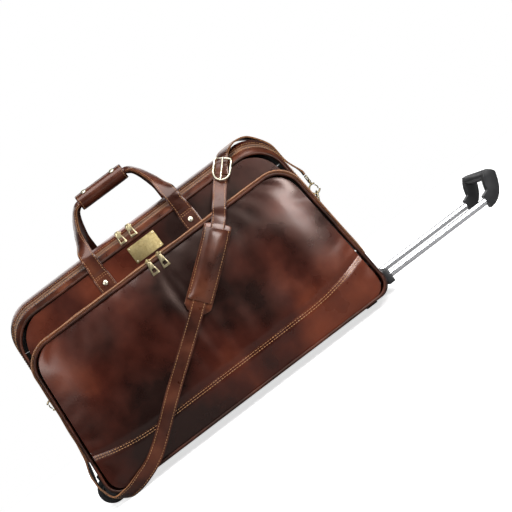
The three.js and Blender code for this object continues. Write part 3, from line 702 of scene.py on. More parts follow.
stitchCorners, stitchFaces = oneStitch()


def sew(name, lines, body, slot="leather", length=None, pitch=None, radius=None, material=None):
    # lines holds (points, normals) pairs; a stitch lies every pitch along each
    length = length or stitch["length"]
    pitch = pitch or stitch["pitch"]
    radius = radius or stitch["radius"]
    corners = []
    faces = []
    for points, normals in lines:
        count = max(1, int(lineLength(points) / pitch))
        places = resample(points, count * 2)
        ups = resample(normals, count * 2)
        for k in range(1, count * 2, 2):
            along = (places[k + 1] - places[k - 1]).normalized()
            up = (ups[k] - along * ups[k].dot(along)).normalized()
            side = up.cross(along)
            first = len(corners)
            for c in stitchCorners:
                corners.append(
                    places[k] + along * (c.x * length / 2) + side * (c.y * radius) + up * (c.z * radius)
                )
            faces += [tuple(first + v for v in face) for face in stitchFaces]
    mesh = bpy.data.meshes.new(name)
    mesh.from_pydata(corners, [], faces)
    piece = bpy.data.objects.new(name, mesh)
    bpy.context.scene.collection.objects.link(piece)
    mesh.materials.append(material or thread)
    outwardsMesh(mesh)
    for face in mesh.polygons:
        face.use_smooth = True
    return finish(piece, body, slot)


def outwardsMesh(mesh):
    working = bmesh.new()
    working.from_mesh(mesh)
    bmesh.ops.recalc_face_normals(working, faces=working.faces)
    working.to_mesh(mesh)
    working.free()


def skinOf(*pieces):
    # the surfaces that a line of stitches can be dropped on
    trees = []
    for piece in pieces:
        working = bmesh.new()
        working.from_mesh(piece.data)
        trees.append(BVHTree.FromBMesh(working))
        working.free()
    return trees


def dropOn(trees, start, way):
    best = None
    for tree in trees:
        hit, normal, _, distance = tree.ray_cast(start, way)
        if hit is not None and (best is None or distance < best[2]):
            best = (hit, normal, distance)
    return best


cloth = dict(pressure=3.2, frames=20, quality=5, mass=0.35, stiffness=12, bending=6)


def puff(piece, pinned, most, push, spare=0.0):
    # the panel is sewn in all round, and what is packed behind it pushes it out by at most this much
    rest = [v.co.copy() for v in piece.data.vertices]
    group = piece.vertex_groups.new(name="sewn")
    group.add(pinned, 1.0, "REPLACE")
    modifier = piece.modifiers.new("cloth", "CLOTH")
    settings = modifier.settings
    settings.vertex_group_mass = "sewn"
    settings.quality = cloth["quality"]
    settings.mass = cloth["mass"]
    settings.tension_stiffness = cloth["stiffness"]
    settings.compression_stiffness = cloth["stiffness"]
    settings.bending_stiffness = cloth["bending"]
    settings.use_pressure = True
    settings.uniform_pressure_force = cloth["pressure"]
    settings.shrink_min = -spare
    settings.effector_weights.gravity = 0
    modifier.collision_settings.use_collision = False
    scene = bpy.context.scene
    for step in range(1, cloth["frames"] + 1):
        scene.frame_set(step)
    applyAll(piece)
    scene.frame_set(1)
    piece.vertex_groups.clear()
    moved = [v.co - start for v, start in zip(piece.data.vertices, rest)]
    reach = max(m.dot(push) for m in moved)
    if reach < 1 * mm:
        print(piece.name, "was not filled out by simulation")
        return False
    for vertex, start, move in zip(piece.data.vertices, rest, moved):
        vertex.co = start + move * (most / reach)
    return True


def refine(piece):
    calm = piece.modifiers.new("calm", "SMOOTH")
    calm.factor = 0.5
    calm.iterations = 16
    finer = piece.modifiers.new("finer", "SUBSURF")
    finer.levels = 1
    finer.render_levels = 1
    applyAll(piece)


def rowHeights(settings, inset, spacing):
    # heights of the rows of a panel's grid, closer together where its corners are round
    low = settings["base"] + inset
    high = settings["top"] - inset
    baseRadius = settings["baseCorner"] - inset
    topRadius = settings["topCorner"] - inset
    steps = 9
    lower = [low + baseRadius * (1 - math.cos(k / steps * math.pi / 2)) for k in range(steps)]
    upper = [high - topRadius * (1 - math.cos(k / steps * math.pi / 2)) for k in reversed(range(steps))]
    count = max(2, round((high - topRadius - low - baseRadius) / spacing))
    middle = [low + baseRadius + (high - topRadius - low - baseRadius) * k / count for k in range(count)]
    return lower + middle + [high - topRadius] + upper


def halfWidthAt(ring, height):
    # half the width of an outline at a height
    best = 0.0
    for a, b in zip(ring, ring[1:] + ring[:1]):
        if min(a.y, b.y) - 1e-7 <= height <= max(a.y, b.y) + 1e-7:
            share = 0.0 if abs(b.y - a.y) < 1e-9 else (height - a.y) / (b.y - a.y)
            best = max(best, abs(a.x + (b.x - a.x) * share))
            if abs(b.y - a.y) < 1e-9:
                best = max(best, abs(b.x))
    return best


def facePanel(name, settings, ring, inset, depthAt, spacing, flip=False, seam=None):
    rows = rowHeights(settings, inset, spacing)
    widths = [halfWidthAt(ring, z) for z in rows]
    columns = round(2 * max(widths) / spacing)
    if seam:
        onSeam = min(rows, key=lambda z: abs(z - seam(0)))

    def place(u, v):
        j = min(round(v * (len(rows) - 1)), len(rows) - 1)
        u = 1 - u if flip else u
        x = (2 * u - 1) * widths[j]
        z = rows[j]
        if seam:
            # one row of the grid lies along the seam, and the rows near it follow
            reach = onSeam - rows[0] if z < onSeam else 85 * mm
            share = max(0.0, 1 - abs(z - onSeam) / reach)
            z += (seam(x) - onSeam) * share * share * (3 - 2 * share)
            x = (2 * u - 1) * halfWidthAt(ring, z)
        return onBag(x, depthAt(x, z), z)

    piece = warpGrid(name, columns, len(rows) - 1, place, bodyLeather)
    pinned = edgeVertices(piece)
    return piece, pinned


def edgeVertices(piece):
    working = bmesh.new()
    working.from_mesh(piece.data)
    found = [v.index for v in working.verts if v.is_boundary]
    working.free()
    return found


def softBulge(piece, ring, most, face, power=0.55):
    # the filled-out shape made without simulation
    for vertex in piece.data.vertices:
        x = vertex.co.x - midX
        half = max(halfWidthAt(ring, vertex.co.z), 1e-4)
        across = max(0.0, 1 - (x / half) ** 2)
        low = lowOf(ring)
        high = highOf(ring)
        up = (vertex.co.z - low) / (high - low)
        rise = max(0.0, 4 * up * (1 - up))
        vertex.co.y += face * most * (across * rise) ** power


frontFill = dict(inset=4.3 * mm, spacing=9 * mm, bulge=1.2 * mm)
backFill = dict(inset=4.3 * mm, spacing=8 * mm, bulge=13 * mm)
pocketFill = dict(inset=4.3 * mm, spacing=5.5 * mm, bulge=12 * mm, spare=0.004, rim=2.2 * mm)


def makeFrontAndBack():
    made = {}
    for name, face, fill in (("frontPanel", -1, frontFill), ("backPanel", 1, backFill)):
        ring = bodyOutline(bag["halfDepth"], fill["inset"])
        settings = dict(bag, top=bag["top"] - bag["edgeDrop"])
        piece, pinned = facePanel(
            name, settings, ring, fill["inset"], lambda x, z: face * bag["halfDepth"], fill["spacing"], face > 0
        )
        outward = Vector((0, face, 0))
        if face < 0 or not puff(piece, pinned, fill["bulge"], outward, 0.006):
            softBulge(piece, ring, fill["bulge"], face)
        refine(piece)
        thicken(piece, bag["thickness"], rim=rawEdge)
        finish(piece, "bag", "leather", "front_panel" if face < 0 else "back_panel")
        made[name] = piece
    return made


def seamAt(x):
    share = max(0.0, (abs(x) / pocket["halfBase"] - 0.5) / 0.5)
    return pocket["base"] + pocket["seam"] + pocket["seamRise"] * share * share


def makePocketFace():
    ring = pocketOutline(pocketFill["inset"])
    depth = -(bag["halfDepth"] + pocket["depth"] - pocketFill["rim"])
    piece, pinned = facePanel(
        "pocketPanel", pocket, ring, pocketFill["inset"], lambda x, z: depth, pocketFill["spacing"],
        seam=seamAt,
    )
    if not puff(piece, pinned, pocketFill["bulge"], Vector((0, -1, 0)), pocketFill["spare"]):
        softBulge(piece, ring, pocketFill["bulge"], -1, 0.5)
    refine(piece)
    # the seam draws the leather in, and the lower panel laps over the upper one
    for vertex in piece.data.vertices:
        off = (vertex.co.z - seamAt(vertex.co.x - midX)) / (7 * mm)
        vertex.co.y += 2.2 * mm * math.exp(-off * off)
    lower = piece.copy()
    lower.data = piece.data.copy()
    lower.name = "pocketLowerPanel"
    bpy.context.scene.collection.objects.link(lower)
    for part, keepUpper in ((piece, True), (lower, False)):
        trimAtSeam(part, keepUpper)
    for vertex in lower.data.vertices:
        off = (vertex.co.z - seamAt(vertex.co.x - midX)) / (16 * mm)
        vertex.co.y -= 1.3 * mm * math.exp(-off * off)
    thicken(piece, bag["thickness"], rim=rawEdge)
    thicken(lower, bag["thickness"], rim=rawEdge, bevel=0.5 * mm)
    finish(piece, "bag", "leather", "pocket_panel")
    finish(lower, "bag", "leather", "pocket_lower_panel")
    return piece, lower


def trimAtSeam(part, keepUpper):
    # the faces past the seam are cut away, and the cut edge is then lapped a little over it
    lap = -3 * mm if keepUpper else 1.2 * mm
    working = bmesh.new()
    working.from_mesh(part.data)
    drop = []
    for face in working.faces:
        centre = face.calc_center_median()
        if (centre.z < seamAt(centre.x - midX)) == keepUpper:
            drop.append(face)
    bmesh.ops.delete(working, geom=drop, context="FACES")
    for vertex in working.verts:
        target = seamAt(vertex.co.x - midX)
        if vertex.is_boundary and abs(vertex.co.z - target) < 2 * mm:
            vertex.co.z = target + lap
    working.to_mesh(part.data)
    working.free()


bodyPanels = makeFrontAndBack()
pocketPanel, pocketLower = makePocketFace()
print("front, back and pocket panels ready")


rolled = dict(radius=2.9 * mm, stand=1.2 * mm)


def makePiping():
    for name, face, nodeName in (("frontPiping", -1, "front_piping"), ("backPiping", 1, "back_piping")):
        ring = dense(bodyOutline(bag["halfDepth"], 2.2 * mm), 5 * mm)
        depth = face * (bag["halfDepth"] + rolled["stand"] - 1 * mm)
        cord = wireAlong(
            name, [onBag(p.x, depth, p.y) for p in ring], rolled["radius"], pipingLeather, closed=True
        )
        finish(cord, "bag", "leather", nodeName)
    ring = dense(pocketOutline(2.2 * mm), 5 * mm)
    depth = -(bag["halfDepth"] + pocket["depth"] + rolled["stand"] - 1.5 * mm)
    cord = wireAlong(
        "pocketPiping", [onBag(p.x, depth, p.y) for p in ring], rolled["radius"], pipingLeather, closed=True
    )
    finish(cord, "bag", "leather", "pocket_piping")


makePiping()


hoop = dict(columns=150, topPuff=7 * mm, endPuff=6 * mm, shoulder=327 * mm)


def hoopStrip(name, lineAt, yFront, yBack, columns, rows, puffAt, material, thickness, rim=None):
    # a strip that follows the outline from one depth to another
    depths = [yFront + (yBack - yFront) * j / rows for j in range(rows + 1)]
    lines = [lineAt(y, columns) for y in depths]

    def place(u, v):
        i = min(round(u * columns), columns)
        j = min(round(v * rows), rows)
        line = lines[j]
        out = outNormal(line, i)
        p = line[i] + out * puffAt(u, v)
        return onBag(p.x, depths[j], p.y)

    piece = warpGrid(name, columns, rows, place, material)
    facesOut(piece)
    thicken(piece, thickness, rim=rim)
    return piece


def facesOut(piece):
    # an open strip gets its faces turned away from the middle of the bag
    middle = Vector((midX, midY, 0.2))
    mesh = piece.data
    total = 0.0
    for face in mesh.polygons:
        total += face.normal.dot((face.center - middle).normalized()) * face.area
    if total < 0:
        mesh.flip_normals()


def crown(v, power=1.0):
    return max(0.0, 4 * v * (1 - v)) ** power


def makeHoop():
    front = -bag["halfDepth"]
    bandBack = front + bag["band"]
    zipBack = bandBack + bag["zipWidth"]
    back = bag["halfDepth"] - 1.5 * mm
    low = bag["zipEnd"]
    shoulder = hoop["shoulder"]
    columns = hoop["columns"]

    def arch(height):
        return lambda y, n: archOver(bodyOutline(y), height, n)

    band = hoopStrip(
        "topFrontBand", arch(low), front + 1.5 * mm, bandBack - 0.3 * mm, columns * 2, 6,
        lambda u, v: 1.6 * mm * crown(v), trimLeather, bag["thickness"], rawEdge,
    )
    finish(band, "bag", "leather", "top_front_band")
    tape = hoopStrip(
        "mainZipTape", arch(low), bandBack, zipBack - 0.3 * mm, columns * 2, 4,
        lambda u, v: -0.8 * mm, zipClothDark, 1.2 * mm,
    )
    finish(tape, "bag", "zip_tape", "main_zip_tape")
    topPanel = hoopStrip(
        "topPanel", arch(shoulder), zipBack, back, columns, 26,
        lambda u, v: hoop["topPuff"] * crown(v, 0.7) * crown(0.06 + 0.88 * u, 0.35), bodyLeather,
        bag["thickness"], rawEdge,
    )
    finish(topPanel, "bag", "leather", "top_panel")
    for name, side, nodeName in (
        ("wheelEndPanel", -1, "wheel_end_panel"),
        ("handleEndPanel", 1, "handle_end_panel"),
    ):
        flank = hoopStrip(
            name, lambda y, n: flankBetween(bodyOutline(y), side, low, shoulder, n), zipBack, back, 30, 26,
            lambda u, v: hoop["endPuff"] * crown(v, 0.7) * (1 - u) ** 0.5 * crown(0.5 + 0.5 * u, 0.4),
            bodyLeather, bag["thickness"], rawEdge,
        )
        finish(flank, "bag", "leather", nodeName)
    tub = hoopStrip(
        "basePanel", lambda y, n: cradleUnder(bodyOutline(y), low - 0.3 * mm, n), front + 1.5 * mm, back,
        columns, 20, lambda u, v: 0.0, bodyLeather, bag["thickness"], rawEdge,
    )
    cutForRunningGear(tub)
    finish(tub, "bag", "leather", "base_panel")


def cutForRunningGear(tub):
    margin = 0.6 * mm
    for node in ("front_wheel_housing", "back_wheel_housing", "handle_socket"):
        low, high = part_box(node)
        low = low - Vector((margin, margin, margin))
        high = high + Vector((margin, margin, margin))
        if node != "handle_socket":
            low.x -= 0.05
            low.z -= 0.05
        else:
            low.x -= 0.03
            high.x += 0.05
        bpy.ops.object.select_all(action="DESELECT")
        bpy.ops.mesh.primitive_cube_add(size=1, location=(low + high) / 2, scale=high - low)
        cutter = bpy.context.object
        bite = tub.modifiers.new("bite", "BOOLEAN")
        bite.operation = "DIFFERENCE"
        bite.object = cutter
        applyAll(tub)
        bpy.data.objects.remove(cutter)
    smooth(tub)


makeHoop()
print("hoop of the body ready")


def makePocketWalls():
    front = -(bag["halfDepth"] + pocket["depth"])
    zipFront = -(bag["halfDepth"] + pocket["zipFront"])
    zipBack = -(bag["halfDepth"] + pocket["zipBack"])
    low = bag["zipEnd"]
    columns = hoop["columns"] * 2

    def arch(y, n):
        return archOver(pocketWallOutline(y), low, n)

    def cradle(y, n):
        return cradleUnder(pocketOutline(0), low - 0.3 * mm, n)

    def ripple(u, deep):
        # the flap beside the zip never lies quite straight
        return deep * (0.6 * math.sin(u * 41) + 0.4 * math.sin(u * 97 + 1.3))

    wall = hoopStrip(
        "pocketGusset", arch, zipBack + 0.3 * mm, -bag["halfDepth"] - 0.5 * mm, columns, 8,
        lambda u, v: (1.2 * mm + ripple(u, 0.9 * mm)) * (1 - v) ** 0.5, trimLeather, bag["thickness"], rawEdge,
    )
    finish(wall, "bag", "leather", "pocket_gusset")
    lowerWall = hoopStrip(
        "pocketGussetLower", cradle, zipFront + 0.3 * mm, -bag["halfDepth"] - 0.5 * mm, columns, 8,
        lambda u, v: 1.4 * mm * crown(v, 0.8), trimLeather, bag["thickness"], rawEdge,
    )
    finish(lowerWall, "bag", "leather")
    tape = hoopStrip(
        "pocketZipTape", arch, zipFront, zipBack, columns, 4, lambda u, v: -0.6 * mm, zipCloth, 1.2 * mm
    )
    finish(tape, "bag", "zip_tape", "pocket_zip_tape")
    facing = hoopStrip(
        "pocketFacing", arch, front + 2 * mm, zipFront - 0.3 * mm, columns, 3,
        lambda u, v: 0.3 * mm, trimLeather, 1.6 * mm, rawEdge,
    )
    finish(facing, "bag", "leather")


makePocketWalls()
print("pocket walls ready")


def curveThrough(stops, count):
    # centripetal curve through the stops, with the face direction, width and curl eased between them
    spots = [Vector(s["at"]) for s in stops]
    made = []
    for i in range(count + 1):
        span = i / count * (len(stops) - 1)
        k = min(int(span), len(stops) - 2)
        share = span - k
        p1, p2 = spots[k], spots[k + 1]
        p0 = spots[k - 1] if k > 0 else p1 * 2 - p2
        p3 = spots[k + 2] if k + 2 < len(spots) else p2 * 2 - p1
        d0, d1, d2 = (max((b - a).length, 1e-6) ** 0.5 for a, b in ((p0, p1), (p1, p2), (p2, p3)))
        t1 = ((p1 - p0) / d0 - (p2 - p0) / (d0 + d1) + (p2 - p1) / d1) * d1
        t2 = ((p2 - p1) / d1 - (p3 - p1) / (d1 + d2) + (p3 - p2) / d2) * d1
        c2 = (p2 - p1) * 3 - t1 * 2 - t2
        c3 = (p1 - p2) * 2 + t1 + t2
        here = p1 + t1 * share + c2 * share ** 2 + c3 * share ** 3
        along = (t1 + c2 * 2 * share + c3 * 3 * share ** 2).normalized()
        eased = share * share * (3 - 2 * share)
        face = Vector(stops[k]["face"]).normalized().lerp(Vector(stops[k + 1]["face"]).normalized(), eased)
        side = face.cross(along).normalized()
        made.append(
            dict(
                at=here,
                along=along,
                side=side,
                face=along.cross(side).normalized(),
                width=stops[k]["width"] + (stops[k + 1]["width"] - stops[k]["width"]) * eased,
                curl=stops[k].get("curl", 0) + (stops[k + 1].get("curl", 0) - stops[k].get("curl", 0)) * eased,
            )
        )
    return made


def acrossStrap(spot, share, lift=0.0):
    # a point across a strap, from -1 to 1, on the arc that the strap is curled to
    reach = share * spot["width"] / 2
    curl = spot["curl"]
    if curl < 0.05:
        return spot["at"] + spot["side"] * reach + spot["face"] * lift
    radius = spot["width"] / curl
    angle = reach / radius
    out = spot["side"] * math.sin(angle) + spot["face"] * math.cos(angle)
    depth = radius * (1 - math.cos(curl / 2))
    return spot["at"] - spot["face"] * (radius - 0.45 * depth) + out * (radius + lift)


def strapPiece(name, route, thickness, material, columns=8):
    count = len(route) - 1

    def place(u, v):
        spot = route[min(round(v * count), count)]
        crowned = 0.35 * mm * (1 - (2 * u - 1) ** 2)
        return acrossStrap(spot, 2 * u - 1, crowned)

    piece = warpGrid(name, columns, count, place, material)
    towards = sum((f.normal.dot(nearestFace(route, f.center)) for f in piece.data.polygons), 0.0)
    if towards < 0:
        piece.data.flip_normals()
    thicken(piece, thickness, 0, rim=rawEdge, bevel=0.5 * mm)
    return piece


def nearestFace(route, point):
    return min(route[:: max(1, len(route) // 40)], key=lambda s: (s["at"] - point).length)["face"]


def sewnEdges(route, thickness, inset, first=0.0, last=1.0):
    # one line of stitches along each edge, on the face of the strap
    begin = int(first * (len(route) - 1))
    end = int(last * (len(route) - 1)) + 1
    lines = []
    for edge in (-1, 1):
        points = []
        normals = []
        for spot in route[begin:end]:
            share = edge * (1 - 2 * inset / spot["width"])
            low = acrossStrap(spot, share, 0.0)
            high = acrossStrap(spot, share, thickness / 2 + 0.15 * mm)
            points.append(high)
            normals.append((high - low).normalized())
        lines.append((points, normals))
    return lines


shoulder = dict(width=26 * mm, thickness=3 * mm, overPanel=2.6 * mm, overPad=5.2 * mm)


def longStops():
    hookX = 4 * mm + math.sin(0.42) * 28.25 * mm
    drop = (math.cos(0.42) * 28.25 + 5.8 + 32.3) * mm
    lowEnd = 247 * mm - drop
    front = -(bag["halfDepth"] + pocket["depth"] + 3 * mm)
    ridge = -(bag["halfDepth"] + 3 * mm)
    corner = pocket["halfBase"]
    top = pocket["top"]
    beyond = 4.5 * mm
    rows = [
        ((-endAt(247 * mm) - hookX, 0, lowEnd), (-1, 0, 0)),
        ((-endAt(247 * mm) - hookX + 1 * mm, 0, lowEnd - 12 * mm), (-1, 0, 0)),
        ((-endAt(lowEnd - 50 * mm) - beyond - 3 * mm, -38 * mm, lowEnd - 48 * mm), (-1, -0.1, 0)),
        ((-endAt(88 * mm) - beyond, -98 * mm, 90 * mm), (-1, -0.2, 0)),
        ((-endAt(58 * mm) - beyond, -140 * mm, 58 * mm), (-0.95, -0.25, -0.15)),
        ((-corner - 9 * mm, -160 * mm, 34 * mm), (-0.85, -0.3, -0.4)),
        ((-corner + 8 * mm, -177 * mm, 15 * mm), (-0.35, -0.35, -0.85)),
        ((-corner + 34 * mm, front + 2 * mm, 12 * mm), (0, -0.8, -0.55)),
        ((-corner + 69 * mm, front - 1 * mm, 20 * mm), (0, -1, -0.15)),
        ((-corner + 105 * mm, front, 35 * mm), (0, -1, 0)),
        ((-corner + 213 * mm, front, 117 * mm), (0, -1, 0)),
        ((4 * mm, front, top - 122 * mm), (0, -1, 0)),
        ((130 * mm, front, top - 20 * mm), (0, -1, 0)),
        ((154 * mm, front + 1 * mm, top + 8 * mm), (0, -1, 0.25)),
        ((174 * mm, ridge - 16 * mm, top + 32 * mm), (0, -0.9, 0.4)),
        ((196 * mm, ridge - 4 * mm, top + 56 * mm), (0, -1, 0.1)),
    ]
    return rows


def shortStops():
    hookX = 4 * mm + math.sin(0.42) * 28.25 * mm
    drop = (math.cos(0.42) * 28.25 + 5.8 + 32.3) * mm
    highEnd = 215 * mm + drop
    ridge = -(bag["halfDepth"] + 3 * mm)
    top = bag["top"]
    beyond = 4.5 * mm
    return [
        ((endAt(215 * mm) + hookX, 0, highEnd), (1, 0, 0)),
        ((endAt(215 * mm) + hookX - 0.5 * mm, 0, highEnd + 10 * mm), (1, 0, 0)),
        ((endAt(330 * mm) + beyond + 5 * mm, -10 * mm, 322 * mm), (1, -0.05, 0.1)),
        ((endAt(380 * mm) + beyond - 2 * mm, -26 * mm, 372 * mm), (0.8, -0.05, 0.5)),
        ((272 * mm, -56 * mm, top + beyond), (0.3, 0, 1)),
        ((244 * mm, -88 * mm, top + beyond + 3 * mm), (0, -0.1, 1)),
        ((220 * mm, -128 * mm, top), (0, -0.5, 1)),
        ((205 * mm, ridge - 3 * mm, pocket["top"] + 68 * mm), (0, -1, 0.3)),
        ((193 * mm, ridge - 9 * mm, pocket["top"] + 52 * mm), (0, -1, 0.3)),
    ]


def routeOf(rows, count, width):
    stops = [dict(at=onBag(*at), face=face, width=width) for at, face in rows]
    return curveThrough(stops, count)


def padSpan(spot):
    x = spot["at"].x - midX
    return 0.0 <= x <= 134 * mm and spot["at"].z > 0.19


def layOnPocket(route, trees):
    # the strap rests on the filled-out pocket, a little further out under its pad
    wanted = []
    for spot in route:
        y = spot["at"].y
        x = spot["at"].x
        onFront = spot["face"].y < -0.9 and spot["at"].z < pocket["top"] + 6 * mm and x - midX < 170 * mm
        if onFront:
            for share in (-1, 0, 1):
                probe = acrossStrap(spot, share)
                met = dropOn(trees, Vector((probe.x, -1, probe.z)), Vector((0, 1, 0)))
                if met:
                    lift = shoulder["overPad"] if padSpan(spot) else shoulder["overPanel"]
                    y = min(y, met[0].y - lift)
        wanted.append(y)
    for _ in range(12):
        inner = [min(b, (a + c) / 2) for a, b, c in zip(wanted, wanted[1:], wanted[2:])]
        wanted = [wanted[0]] + inner + [wanted[-1]]
    for _ in range(6):
        inner = [(a + 2 * b + c) / 4 for a, b, c in zip(wanted, wanted[1:], wanted[2:])]
        wanted = [wanted[0]] + inner + [wanted[-1]]
    for spot, y in zip(route, wanted):
        spot["at"].y = y
    return route


def makeShoulderStrap():
    trees = skinOf(pocketPanel, pocketLower, bpy.data.objects["pocketPiping"])
    long = layOnPocket(routeOf(longStops(), 240, shoulder["width"]), trees)
    tip = strapPiece("shoulderStrapLong", long, shoulder["thickness"], strapLeather)
    finish(tip, "bag", "leather", "shoulder_strap_long")
    short = routeOf(shortStops(), 140, shoulder["width"])
    upper = strapPiece("shoulderStrapShort", short, shoulder["thickness"], strapLeather)
    finish(upper, "bag", "leather", "shoulder_strap_short")
    inset = 3 * mm
    sew("shoulderStrapLongSeam", sewnEdges(long, shoulder["thickness"], inset, 0.02, 0.985), "bag")
    sew("shoulderStrapShortSeam", sewnEdges(short, shoulder["thickness"], inset, 0.03, 0.97), "bag")
    makePad([spot for spot in long if padSpan(spot)])
    # the strap's punched holes are small dark dishes, painted shade standing in for the open holes
    makePaintedHoleShades([spot for spot in long if spot["at"].x - midX > 136 * mm])
    return long, short


pad = dict(width=50 * mm, corner=9 * mm, backing=2.2 * mm, sleeveWidth=49 * mm, puff=3.4 * mm)


def makePad(route):
    # backing behind the strap, and a stuffed sleeve over it that is shorter at both ends
    count = len(route) - 1
    total = lineLength([s["at"] for s in route])

    def halfAt(share, corner):
        fromEnd = min(share, 1 - share) * total
        if fromEnd >= corner:
            return pad["width"] / 2
        return pad["width"] / 2 - corner + math.sqrt(max(0.0, corner ** 2 - (corner - fromEnd) ** 2))

    def backPlace(u, v):
        spot = route[min(round(v * count), count)]
        half = halfAt(v, pad["corner"])
        return spot["at"] + spot["side"] * ((2 * u - 1) * half) - spot["face"] * 2.9 * mm

    backing = warpGrid("shoulderPadBacking", 12, count, backPlace, trimLeather)
    faceRoute(backing, route)
    thicken(backing, pad["backing"], 0, rim=rawEdge, bevel=0.5 * mm)
    finish(backing, "bag", "leather")

    first = round(count * 0.12)
    last = round(count * 0.86)
    part = route[first : last + 1]

    def sleevePlace(u, v):
        k = min(round(v * (len(part) - 1)), len(part) - 1)
        spot = part[k]
        s = 2 * u - 1
        rise = -1.2 * mm + 5.2 * mm * (1 - abs(s) ** 3.2) + pad["puff"] * crown(v, 0.4) * (1 - s * s)
        return spot["at"] + spot["side"] * (s * pad["sleeveWidth"] / 2) + spot["face"] * rise

    sleeve = warpGrid("shoulderPadSleeve", 24, len(part) - 1, sleevePlace, strapLeather)
    faceRoute(sleeve, route)
    thicken(sleeve, 2 * mm, -1, rim=rawEdge, bevel=0.4 * mm)
    finish(sleeve, "bag", "leather", "shoulder_pad")
    lines = []
    for edge in (-1, 1):
        points = []
        normals = []
        for k, spot in enumerate(part):
            share = edge * 0.86
            rise = -1.2 * mm + 5.2 * mm * (1 - abs(share) ** 3.2) + pad["puff"] * crown(k / (len(part) - 1), 0.4) * (1 - share * share)
            points.append(spot["at"] + spot["side"] * (share * pad["sleeveWidth"] / 2) + spot["face"] * (rise + 0.2 * mm))
            normals.append(spot["face"] + spot["side"] * edge * 0.6)
        lines.append((points, normals))
    sew("shoulderPadSeam", lines, "bag")
    endLines = []
    for k0, k1 in ((0, first), (last, count)):
        for edge in (-1, 1):
            points = [
                route[k]["at"]
                + route[k]["side"] * edge * (halfAt(k / count, pad["corner"]) - 3.4 * mm)
                - route[k]["face"] * 1.6 * mm
                for k in range(k0 + 1, k1)
            ]
            if len(points) > 2:
                endLines.append((points, [route[k]["face"] for k in range(k0 + 1, k1)]))
    if endLines:
        sew("shoulderPadEndSeam", endLines, "bag")


def faceRoute(piece, route):
    towards = sum((f.normal.dot(nearestFace(route, f.center)) for f in piece.data.polygons), 0.0)
    if towards < 0:
        piece.data.flip_normals()


def makePaintedHoleShades(route):
    # punched holes, drawn as small dark dishes set flush in the strap: the dark leather is painted shade where each
    # hole would open
    for n in range(3):
        spot = route[min(len(route) - 1, round((0.12 + 0.28 * n) * (len(route) - 1)))]
        stud = makeStud(
            f"strapHolePaintedShade{n + 1}", 2.0 * mm, 0.5 * mm,
            spot["at"] + spot["face"] * (shoulder["thickness"] / 2 + 0.2 * mm),
            spot["face"], pipingLeather, dish=True,
        )
        finish(stud, "bag", "leather")


def makeStud(name, radius, height, place, up, material, dish=False):
    # turned stud: a disc whose face is inset and raised or sunk
    bpy.ops.object.select_all(action="DESELECT")
    bpy.ops.mesh.primitive_cylinder_add(vertices=28, radius=radius, depth=height)
    stud = bpy.context.object
    stud.name = name
    bpy.ops.object.mode_set(mode="EDIT")
    working = bmesh.from_edit_mesh(stud.data)
    for face in working.faces:
        face.select = face.normal.z > 0.9
    bmesh.update_edit_mesh(stud.data)
    bpy.ops.mesh.inset(thickness=radius * 0.22, depth=-height * 0.2 if dish else height * 0.12)
    bpy.ops.mesh.inset(thickness=radius * 0.3, depth=-height * 0.3 if dish else height * 0.22)
    bpy.ops.mesh.inset(thickness=radius * 0.22, depth=-height * 0.1 if dish else height * 0.1)
    bpy.ops.object.mode_set(mode="OBJECT")
    rim = stud.modifiers.new("rim", "BEVEL")
    rim.width = min(radius, height) * 0.2
    rim.segments = 2
    rim.limit_method = "ANGLE"
    applyAll(stud)
    stud.matrix_world = Matrix.Translation(place) @ up.to_track_quat("Z", "Y").to_matrix().to_4x4()
    freeze(stud)
    stud.data.materials.append(material)
    outwards(stud)
    smooth(stud, 35)
    return stud


longRoute, shortRoute = makeShoulderStrap()
print("shoulder strap ready")


buckle = dict(length=46 * mm, width=36 * mm, wire=2.1 * mm, prong=1.5 * mm)


def makeBuckle():
    low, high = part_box("buckle_frame")
    centre = (low + high) / 2
    tilt = math.pi / 2 - 0.3
    turn = math.atan2(24, 22)
    along = Vector((math.cos(turn), math.sin(turn) * math.cos(tilt), math.sin(turn) * math.sin(tilt)))
    side = Vector((-math.sin(turn), math.cos(turn) * math.cos(tilt), math.cos(turn) * math.sin(tilt)))
    face = along.cross(side)
    halfWide = buckle["width"] / 2 - buckle["wire"]
    halfLong = buckle["length"] / 2 - buckle["wire"]
    flat = [Vector((halfLong, 0)), Vector((halfLong, halfWide - 4 * mm))]
    corner = 5 * mm
    for k in range(7):
        a = k / 6 * math.pi / 2
        flat.append(Vector((halfLong - corner + corner * math.cos(a), halfWide - corner + corner * math.sin(a))))
    for k in range(25):
        a = math.pi / 2 + k / 24 * math.pi
        flat.append(Vector((halfWide - halfLong + halfWide * math.cos(a), halfWide * math.sin(a))))
    for k in range(7):
        a = -math.pi / 2 + k / 6 * math.pi / 2
        flat.append(Vector((halfLong - corner + corner * math.cos(a), -halfWide + corner + corner * math.sin(a))))
    flat = [p for i, p in enumerate(flat) if i == 0 or (p - flat[i - 1]).length > 0.2 * mm]
    ring = [centre + along * p.x + side * p.y for p in flat]
    hoopWire = wireAlong("buckleFrame", ring, buckle["wire"], paleBrass, closed=True, roundness=4)
    finish(hoopWire, "bag", "brass", "buckle_frame")
    lift = face * 3.3 * mm
    tongue = [
        centre + along * x * mm + lift * rise
        for x, rise in ((21.6, 1.0), (18, 1.15), (10, 1.0), (0, 0.95), (-12, 0.95), (-19, 1.0), (-23, 1.0))
    ]
    prong = wireAlong("bucklePin", tongue, buckle["prong"], paleBrass, roundness=3)
    finish(prong, "buckle_prong", "brass", "buckle_prong")


makeBuckle()


handle = dict(
    width=28 * mm, thickness=3 * mm, half=98 * mm, wrapLength=108 * mm, wrapRadius=16.5 * mm, gripHeight=497 * mm,
    tabWidth=33 * mm, sewLine=365 * mm, stud=5 * mm, snapAngle=0.95,
)


